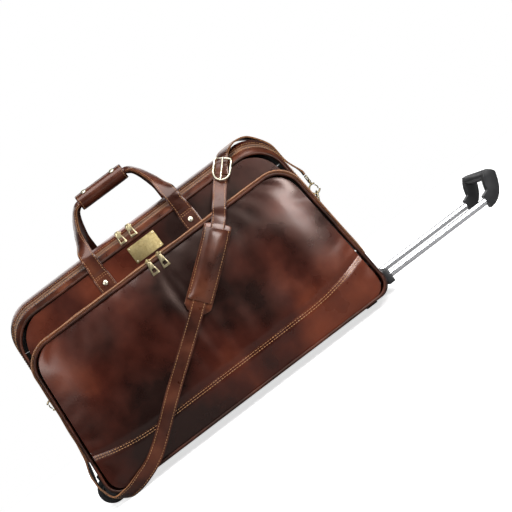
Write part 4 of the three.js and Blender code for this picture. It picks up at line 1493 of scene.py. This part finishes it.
def handleRoute(face, tree):
    hingeY = leanY(bag["halfDepth"] + 3 * mm + 0.8 * mm + handle["thickness"] / 2, handle["sewLine"])
    grip = handle["gripHeight"]
    half = handle["half"]
    wide = handle["width"]
    rows = []
    for z in (325, 336, 347, 358):
        y = bag["halfDepth"] + 1.8 * mm
        rows.append(((half, leanY(y, z * mm), z * mm), (0, 1, -0.05), handle["tabWidth"] - (1.5 * mm if z > 350 else 0), 0))
    rows += [
        ((half, hingeY, 366 * mm), (0, 1, 0), wide + 2 * mm, 0),
        ((half - 1 * mm, hingeY - 0.5 * mm, 382 * mm), (0, 1, 0.1), wide, 0),
        ((half - 1 * mm, hingeY - 2 * mm, 399 * mm), (0, 1, 0.2), wide, 0.3),
        ((half - 8 * mm, hingeY - 48 * mm, grip - 52 * mm), (0.75, 0.6, 0.35), wide, 0.9),
        ((half - 25 * mm, 26 * mm, grip - 14 * mm), (0.75, 0.15, 0.65), wide - 2 * mm, 1.9),
        ((handle["wrapLength"] / 2 + 4 * mm, 8.4 * mm, grip), (0.1, 0.25, 1), wide - 4 * mm, 2.9),
        ((handle["wrapLength"] / 2 - 6 * mm, 7.9 * mm, grip + 1 * mm), (0, 0.25, 1), wide - 5 * mm, 3.0),
    ]
    stops = []
    for mirror in (1, -1):
        part = []
        for (x, y, z), (fx, fy, fz), width, curl in rows:
            at = Vector((midX + mirror * x, midY + face * y, z))
            if z < 362 * mm:
                met = dropOn(tree, Vector((at.x, midY + face, z)), Vector((0, -face, 0)))
                if met:
                    at.y = met[0].y + face * (handle["thickness"] / 2 + 0.3 * mm)
            part.append(dict(at=at, face=(mirror * fx, face * fy, fz), width=width, curl=curl))
        stops += part if mirror > 0 else part[::-1]
    return curveThrough(stops, 260)


def makeCarryHandles():
    for label, face, panel in (("front", -1, "frontPanel"), ("back", 1, "backPanel")):
        tree = skinOf(bodyPanels[panel])
        route = handleRoute(face, tree)
        strap = strapPiece(label + "HandleStrap", route, handle["thickness"], strapLeather, 10)
        hinge = onBag(0, face * (bag["halfDepth"] + 3 * mm), handle["sewLine"])
        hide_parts(label + "_handle_strap", label + "_handle_tab_left", label + "_handle_tab_right")
        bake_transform(strap)
        seams = sewnEdges(route, handle["thickness"], 3 * mm, 0.01, 0.42)
        seams += sewnEdges(route, handle["thickness"], 3 * mm, 0.58, 0.99)
        seam = sewRaw(label + "HandleSeam", seams)
        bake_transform(seam)
        makeTabStitches(label, face, route)
        makeWrap(label, face)


def makeTabStitches(label, face, route):
    # a box of stitches and a stud on each sewn end
    lines = []
    for part in (route[:60], route[-60:]):
        for height in (352, 356):
            spot = min(part, key=lambda s: abs(s["at"].z - height * mm))
            points = [acrossStrap(spot, s, handle["thickness"] / 2 + 0.2 * mm) for s in (-0.7, -0.35, 0, 0.35, 0.7)]
            lines.append((points, [spot["face"]] * 5))
        spot = min(part, key=lambda s: abs(s["at"].z - 339 * mm))
        mark = "Right" if spot["at"].x > midX else "Left"
        stud = makeStud(
            label + "HandleStud" + mark, handle["stud"], 2.4 * mm,
            spot["at"] + spot["face"] * (handle["thickness"] / 2 + 0.7 * mm), spot["face"], paleBrass,
        )
        finish(stud, "bag", "brass")
    sew(label + "HandleTabSeam", lines, "bag", length=3.0 * mm, pitch=4.0 * mm)


def makeWrap(label, face):
    # half of the grip: a leather shell round its own strap, and the front half laps over the back one
    radius = handle["wrapRadius"]
    centre = Vector((midX, midY, handle["gripHeight"]))
    columns = 44
    rows = 28
    lap = math.radians(24) if face < 0 else 0.0

    def place(u, v):
        angle = math.radians(-89) + v * (math.radians(178) + lap)
        x = (2 * u - 1) * handle["wrapLength"] / 2
        flat = 1 + 0.05 * math.cos(2 * angle)
        ends = 1 - 0.05 * abs(2 * u - 1) ** 10
        over = 1.1 * mm if (face < 0 and angle > math.radians(84)) else 0.0
        r = (radius - 1.3 * mm) * flat * ends + over
        return centre + Vector((x, face * r * math.cos(angle), r * math.sin(angle)))

    shell = warpGrid(label + "GripWrap", columns, rows, place, strapLeather)
    towards = sum((f.normal.dot(f.center - centre) for f in shell.data.polygons), 0.0)
    if towards < 0:
        shell.data.flip_normals()
    thicken(shell, 2.4 * mm, 0, rim=rawEdge, bevel=0.5 * mm)
    finish(shell, label + "_handle", "leather", label + "_grip_wrap")
    lines = []
    for end in (-1, 1):
        points = []
        normals = []
        for k in range(19):
            angle = math.radians(-80 + 160 * k / 18)
            out = Vector((0, face * math.cos(angle), math.sin(angle)))
            flat = 1 + 0.05 * math.cos(2 * angle)
            x = end * (handle["wrapLength"] / 2 - 4 * mm)
            points.append(centre + Vector((x, 0, 0)) + out * ((radius - 1.3 * mm) * flat + 1.35 * mm))
            normals.append(out)
        lines.append((points, normals))
    sew(label + "GripWrapSeam", lines, label + "_handle")
    if face < 0:
        for mark, x in (("Left", -34 * mm), ("Right", 34 * mm)):
            out = Vector((0, -math.cos(handle["snapAngle"]), math.sin(handle["snapAngle"])))
            top = centre + Vector((x, 0, 0)) + out * (radius + 0.2 * mm)
            snap = makeStud("gripSnap" + mark, 6 * mm, 2.8 * mm, top, out, paleBrass)
            finish(snap, label + "_handle", "brass")


def sewRaw(name, lines):
    piece = sew(name, lines, "bag")
    piece.parent = None
    del piece["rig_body"]
    return piece


makeCarryHandles()
print("carry handles ready")


teeth = dict(pitch=2.6 * mm, width=5.4 * mm, length=1.7 * mm)


def hoopLine(ringAt, height, y, count, lift):
    line = archOver(ringAt(y), height, count)
    points = []
    normals = []
    for i, p in enumerate(line):
        out = outNormal(line, i)
        q = p + out * lift
        points.append(onBag(q.x, y, q.y))
        normals.append(Vector((out.x, 0, out.y)))
    return points, normals


def makeTeeth(name, ringAt, yFront, yBack, lift, material):
    # two rows of teeth that mesh along the middle of the tape
    middle = (yFront + yBack) / 2
    corners = []
    faces = []
    points, normals = hoopLine(ringAt, bag["zipEnd"] + 2 * mm, middle, 600, lift)
    count = int(lineLength(points) / teeth["pitch"])
    places = resample(points, count)
    ups = resample(normals, count)
    for k in range(1, count):
        along = (places[k + 1 if k + 1 <= count else k] - places[k - 1]).normalized()
        up = (ups[k] - along * ups[k].dot(along)).normalized()
        side = up.cross(along)
        offset = side * (0.9 * mm if k % 2 else -0.9 * mm)
        first = len(corners)
        for c in stitchCorners:
            corners.append(
                places[k] + offset + along * (c.y * teeth["length"] / 2) + side * (c.x * teeth["width"] / 2)
                + up * (c.z * 0.95 * mm)
            )
        faces += [tuple(first + v for v in face) for face in stitchFaces]
    mesh = bpy.data.meshes.new(name)
    mesh.from_pydata(corners, [], faces)
    piece = bpy.data.objects.new(name, mesh)
    bpy.context.scene.collection.objects.link(piece)
    mesh.materials.append(material)
    outwardsMesh(mesh)
    for face in mesh.polygons:
        face.use_smooth = True
    return finish(piece, "bag", "brass")


def makeZips():
    front = -bag["halfDepth"]
    makeTeeth("mainZipTeeth", bodyOutline, front + bag["band"], front + bag["band"] + bag["zipWidth"], 0.2 * mm, zipTeeth)
    zipFront = -(bag["halfDepth"] + pocket["zipFront"])
    zipBack = -(bag["halfDepth"] + pocket["zipBack"])
    makeTeeth("pocketZipTeeth", lambda y: pocketOutline(0), zipFront, zipBack, 0.2 * mm, zipTeeth)
    # sewn edges beside the zips
    lines = []
    for y in (front + bag["band"] - 3 * mm, front + bag["band"] + bag["zipWidth"] + 3 * mm):
        lines.append(hoopLine(bodyOutline, bag["zipEnd"] + 2 * mm, y, 400, 1.2 * mm))
    sew("mainZipSeam", lines, "bag")
    lines = []
    for y in (zipFront - 2.4 * mm, zipBack + 3 * mm):
        lines.append(hoopLine(lambda d: pocketOutline(0), bag["zipEnd"] + 2 * mm, y, 400, 1.1 * mm))
    sew("pocketZipSeam", lines, "bag")


def makeSliders():
    for label in ("main_left", "main_right", "pocket_left", "pocket_right"):
        low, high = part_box(label + "_slider")
        centre = (low + high) / 2
        size = high - low
        name = "".join(w.capitalize() if i else w for i, w in enumerate(label.split("_")))
        bpy.ops.object.select_all(action="DESELECT")
        bpy.ops.mesh.primitive_cube_add(size=1, location=centre, scale=(size.x, 10 * mm, 3.4 * mm))
        slider = bpy.context.object
        slider.name = name + "Slider"
        freeze(slider)
        bpy.ops.object.mode_set(mode="EDIT")
        working = bmesh.from_edit_mesh(slider.data)
        for face in working.faces:
            face.select = face.normal.z > 0.9
        bmesh.update_edit_mesh(slider.data)
        bpy.ops.mesh.inset(thickness=1.6 * mm, depth=0.8 * mm)
        bpy.ops.mesh.inset(thickness=1.2 * mm, depth=0.9 * mm)
        bpy.ops.object.mode_set(mode="OBJECT")
        edges = slider.modifiers.new("edges", "BEVEL")
        edges.width = 0.7 * mm
        edges.segments = 3
        applyAll(slider)
        smooth(slider)
        slider.data.materials.append(brass)
        outwards(slider)
        finish(slider, label + "_slider", "brass", label + "_slider")
        bail = [
            centre + Vector((x * mm, y * mm, z * mm))
            for x, y, z in ((0, 3.6, 1.5), (0, 3.2, 4.2), (0, 1.4, 5.6), (0, -1.4, 5.6), (0, -3.2, 4.4), (0, -3.8, 1.5))
        ]
        finish(wireAlong(name + "Bail", bail, 1.1 * mm, brass, roundness=2), label + "_slider", "brass")
        pullLow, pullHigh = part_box(label + "_pull")
        eye = Vector(((pullLow.x + pullHigh.x) / 2, (pullLow.y + pullHigh.y) / 2, pullHigh.z - 1.2 * mm))
        start = centre + Vector((0, -2.4 * mm, 4.6 * mm))
        middle = (eye + start) / 2
        reach = (eye - start) / 2
        side = Vector((1, 0, 0))
        across = reach.normalized()
        ring = []
        for k in range(20):
            a = 2 * math.pi * k / 20
            ring.append(middle + across * (reach.length + 1.0 * mm) * math.cos(a) + side * 3.2 * mm * math.sin(a))
        finish(wireAlong(name + "Link", ring, 1.25 * mm, brass, closed=True, roundness=2), label + "_slider", "brass")


makeZips()
makeSliders()
print("zips ready")


def makePocketSeam():
    trees = skinOf(pocketPanel, pocketLower)
    lines = []
    half = pocket["halfBase"] - 9 * mm
    for off in (-1.6 * mm, -6.0 * mm):
        points = []
        normals = []
        for k in range(161):
            x = (2 * k / 160 - 1) * half
            z = seamAt(x) + off
            met = dropOn(trees, Vector((midX + x, -1, z)), Vector((0, 1, 0)))
            if met:
                points.append(met[0] + Vector((0, -0.25 * mm, 0)))
                normals.append(-met[1] if met[1].y > 0 else met[1])
        lines.append((points, normals))
    sew("pocketSeam", lines, "bag", length=4.2 * mm, pitch=5.6 * mm, radius=0.65 * mm)


makePocketSeam()
print("seams ready")


ends = dict(
    wire=1.5 * mm, barOut=4 * mm, ringHalf=15.25 * mm, ringDrop=13 * mm, ringTilt=0.42, hookRadius=10.25 * mm,
    hookWire=1.9 * mm, gateRadius=7.05 * mm, gateWire=1.15 * mm, tabWidth=26.4 * mm,
)


def makeEnd(label, side, hang):
    # both ends are drawn for an end facing +X with the ring hanging down, then mirrored
    slotLow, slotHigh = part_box(label + "_d_ring")
    height = slotHigh.z - 1.25 * mm if hang > 0 else slotLow.z + 1.25 * mm
    name = "wheelEnd" if side < 0 else "handleEnd"

    def put(x, y, z):
        return Vector((midX + side * (endAt(height) + x), midY + y, height + hang * z))

    tilt = ends["ringTilt"]

    def onRing(across, down):
        return put(ends["barOut"] + math.sin(tilt) * down, across, -math.cos(tilt) * down)

    half = ends["ringHalf"]
    drop = ends["ringDrop"]
    ring = [onRing(y * half, 0) for y in (0, 0.5, 0.92)] + [onRing(half, 1.5 * mm)]
    for k in range(25):
        angle = k / 24 * math.pi
        ring.append(onRing(half * math.cos(angle), drop + half * math.sin(angle)))
    ring += [onRing(-half, 1.5 * mm)] + [onRing(-y * half, 0) for y in (0.92, 0.5)]
    finish(wireAlong(name + "Ring", ring, ends["wire"], brass, closed=True, roundness=3), "bag", "brass", label + "_d_ring")

    far = drop + 17 * mm - 1.75 * mm
    hookX = ends["barOut"] + math.sin(tilt) * far
    hookZ = -(math.cos(tilt) * far + 5.8 * mm)
    bend = []
    for k in range(33):
        angle = 0.58 + k / 32 * (2 * math.pi - 0.95 - 0.58)
        bend.append(put(hookX + ends["hookRadius"] * math.cos(angle), 0, hookZ + ends["hookRadius"] * math.sin(angle)))
    finish(wireAlong(name + "Hook", bend, ends["hookWire"], brass, roundness=3), "bag", "brass", label + "_hook")
    shank = turned(
        name + "Swivel",
        [(0.3, -10.6), (2.6, -10.8), (3.1, -12.6), (2.4, -13.6), (2.4, -15.2), (3.4, -16.2), (3.4, -19.0), (2.6, -20.4), (0.3, -20.6)],
        lambda r, a, s: put(hookX + r * math.cos(a), r * math.sin(a), hookZ + s), 20, brass,
    )
    finish(shank, "bag", "brass")
    eyeHalf = 14.9 * mm
    eye = [(-eyeHalf, -20.6), (eyeHalf, -20.6), (eyeHalf, -30.6), (-eyeHalf, -30.6)]
    loop = []
    for (y0, z0), (y1, z1) in zip(eye, eye[1:] + eye[:1]):
        for share in (0.08, 0.5, 0.92):
            loop.append(put(hookX, y0 + (y1 - y0) * share, hookZ + (z0 + (z1 - z0) * share) * mm))
    finish(wireAlong(name + "Eye", loop, 1.4 * mm, brass, closed=True, roundness=3), "bag", "brass")
    gate = []
    for k in range(13):
        angle = -0.9 + k / 12 * 1.5
        gate.append(put(hookX + ends["gateRadius"] * math.cos(angle), 0, hookZ + ends["gateRadius"] * math.sin(angle)))
    gateBody = "wheel_end_gate" if side < 0 else "handle_end_gate"
    finish(
        wireAlong(name + "Gate", gate, ends["gateWire"], brass, roundness=2), gateBody, "brass", label + "_hook_gate"
    )

    stops = []
    lean = (endAt(height - 34 * mm) - endAt(height)) * (1 if hang < 0 else -1)
    for x, z, fx, fz in (
        (1.9, 34, -1, 0), (1.5, 20, -1, 0), (1.5, 8, -1, 0), (1.1, 2, -1, -0.2), (2.2, -2.2, -0.5, -0.9),
        (4.6, -3.2, 0.3, -1), (6.6, -1.4, 1, -0.4), (7.1, 3, 1, 0), (5.4, 12, 1, 0), (4.9, 22, 1, 0), (4.6, 34, 1, 0),
    ):
        shift = lean * max(0.0, z) / 34
        at = put(x * mm + shift, 0, z * mm)
        stops.append(dict(at=at, face=(side * fx, 0, hang * fz), width=ends["tabWidth"]))
    route = curveThrough(stops, 60)
    tab = strapPiece(name + "RingTab", route, 2 * mm, strapLeather)
    finish(tab, "bag", "leather", label + "_ring_tab")
    sew(name + "RingTabSeam", sewnEdges(route[34:], 2 * mm, 3 * mm, 0.05, 0.96), "bag")
    spot = route[47]
    stud = makeStud(name + "Rivet", 4 * mm, 1.8 * mm, spot["at"] + spot["face"] * 1.6 * mm, spot["face"], paleBrass)
    finish(stud, "bag", "brass")


def turned(name, profile, place, around, material):
    # a profile (radius, height in mm) turned about an axis
    count = len(profile) - 1

    def put(u, v):
        radius, height = profile[min(round(v * count), count)]
        return place(radius * mm, 2 * math.pi * u, height * mm)

    piece = warpGrid(name, around, count, put, material)
    onlySelect(piece)
    bpy.ops.object.mode_set(mode="EDIT")
    bpy.ops.mesh.select_all(action="SELECT")
    bpy.ops.mesh.remove_doubles(threshold=1e-6)
    bpy.ops.mesh.select_all(action="DESELECT")
    bpy.ops.mesh.select_non_manifold()
    if profile[0] != profile[-1]:
        bpy.ops.mesh.edge_face_add()
        bpy.ops.mesh.select_all(action="DESELECT")
        bpy.ops.mesh.select_non_manifold()
        bpy.ops.mesh.fill_holes(sides=0)
    bpy.ops.object.mode_set(mode="OBJECT")
    outwards(piece)
    smooth(piece, 32)
    return piece


makeEnd("wheel_end", -1, 1)
makeEnd("handle_end", 1, -1)
print("end hardware ready")


wheel = dict(
    tyre=(
        (18.2, -9.5), (20, -11.2), (24.2, -12), (26.6, -11.2), (27.7, -9.2), (28, -6.4), (28, -4.6), (27, -4.3),
        (27, -3.3), (28, -3), (28, 3), (27, 3.3), (27, 4.3), (28, 4.6), (28, 6.4), (27.7, 9.2), (26.6, 11.2),
        (24.2, 12), (20, 11.2), (18.2, 9.5), (18.2, -9.5),
    ),
    hub=(
        (3.5, -11.5), (6.4, -11.5), (7, -10.9), (7.2, -6), (14.6, -5.4), (15.2, -6), (15.6, -10), (16.2, -10.6),
        (17.9, -10.4), (17.9, 10.4), (16.2, 10.6), (15.6, 10), (15.2, 6), (14.6, 5.4), (7.2, 6), (7, 10.9),
        (6.4, 11.5), (3.5, 11.5), (3.5, -11.5),
    ),
    spokes=6,
)


def makeWheels():
    for label in ("front", "back"):
        low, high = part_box(label + "_wheel")
        middle = (low + high) / 2

        def put(r, a, s):
            return middle + Vector((r * math.cos(a), s, r * math.sin(a)))

        tyre = turned(label + "Tyre", wheel["tyre"], put, 72, rubber)
        finish(tyre, label + "_wheel", "rubber", label + "_wheel")
        hub = turned(label + "Hub", wheel["hub"], put, 48, greyPlastic)
        finish(hub, label + "_wheel", "black_plastic")
        for k in range(wheel["spokes"]):
            angle = 2 * math.pi * k / wheel["spokes"]
            bpy.ops.object.select_all(action="DESELECT")
            bpy.ops.mesh.primitive_cube_add(size=1, scale=(8.6 * mm, 18 * mm, 2.4 * mm))
            spoke = bpy.context.object
            spoke.name = f"{label}Spoke{k + 1}"
            freeze(spoke)
            edges = spoke.modifiers.new("edges", "BEVEL")
            edges.width = 0.8 * mm
            edges.segments = 2
            applyAll(spoke)
            spoke.location = put(11 * mm, angle, 0)
            spoke.rotation_euler = (0, -angle, 0)
            freeze(spoke)
            smooth(spoke)
            spoke.data.materials.append(greyPlastic)
            finish(spoke, label + "_wheel", "black_plastic")


greyPlastic = makePlastic("hubPlastic", (0.03, 0.03, 0.032), 0.45)
makeWheels()


def makeTubes():
    for label in ("front", "back"):
        low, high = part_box(label + "_inner_tube")
        middle = (low + high) / 2
        outer = (high.z - low.z) / 2 / mm
        half = (high.x - low.x) / 2 / mm
        bore = outer - 1.2
        profile = [(bore, -half), (outer - 0.3, -half), (outer, -half + 0.4)]
        profile += [(outer, -half + 0.4 + (2 * half - 0.8) * k / 20) for k in range(1, 20)]
        profile += [(outer, half - 0.4), (outer - 0.3, half), (bore, half), (bore, -half)]
        tube = turned(
            label + "InnerTube", profile, lambda r, a, s: middle + Vector((s, r * math.cos(a), r * math.sin(a))),
            48, tubeMetal,
        )
        finish(tube, "pull_handle", "tube_metal", label + "_inner_tube")
        # moulded collar where the tube leaves the socket
        low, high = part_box("handle_socket")
        edge = high.x
        collar = turned(
            label + "Collar",
            [(outer + 0.5, -2), (outer + 3.4, -2), (outer + 3.4, 0.8), (outer + 2.6, 1.9), (outer + 0.9, 1.9), (outer + 0.5, 1.3), (outer + 0.5, -2)],
            lambda r, a, s: Vector((edge + s, middle.y + r * math.cos(a), middle.z + r * math.sin(a))),
            48, blackPlastic,
        )
        finish(collar, "bag", "black_plastic")


makeTubes()
print("running gear ready")


def makePlatePins():
    low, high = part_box("name_plate")
    for k, (sx, sz) in enumerate(((-1, -1), (1, -1), (1, 1), (-1, 1))):
        x = midX + sx * 26.5 * mm
        z = (low.z + high.z) / 2 + sz * 13.5 * mm
        share = (z - low.z) / (high.z - low.z)
        y = low.y + (leanY(-bag["halfDepth"], high.z) - leanY(-bag["halfDepth"], low.z)) * share
        place = Vector((x, y - 0.1 * mm, z))
        pin = makeStud(f"platePin{k + 1}", 1.1 * mm, 0.7 * mm, place, Vector((0, -1, 0.07)), paleBrass)
        finish(pin, "bag", "brass")


makePlatePins()


# CAD nodes that keep their shape
for nodeName in ("base_board",):
    paintNode(nodeName, baseBoard)
for nodeName in ("front_outer_tube", "back_outer_tube", "wheel_axle"):
    paintNode(nodeName, tubeMetal)
    softenNode(nodeName, 0.3 * mm)
for nodeName in ("handle_socket", "tube_anchor", "release_button", "front_wheel_housing", "back_wheel_housing"):
    paintNode(nodeName, blackPlastic)
    softenNode(nodeName, 1.2 * mm, 3)
paintNode("pull_grip", blackPlastic)
softenNode("pull_grip", 2.2 * mm, 3, 35)
paintNode("foot_rail", rubber)
softenNode("foot_rail", 1 * mm)
for nodeName in nodes:
    if nodeName.endswith("_pull"):
        paintNode(nodeName, brass)
        softenNode(nodeName, 0.5 * mm)
paintNode("name_plate", plateBrass)
softenNode("name_plate", 0.5 * mm, 3)
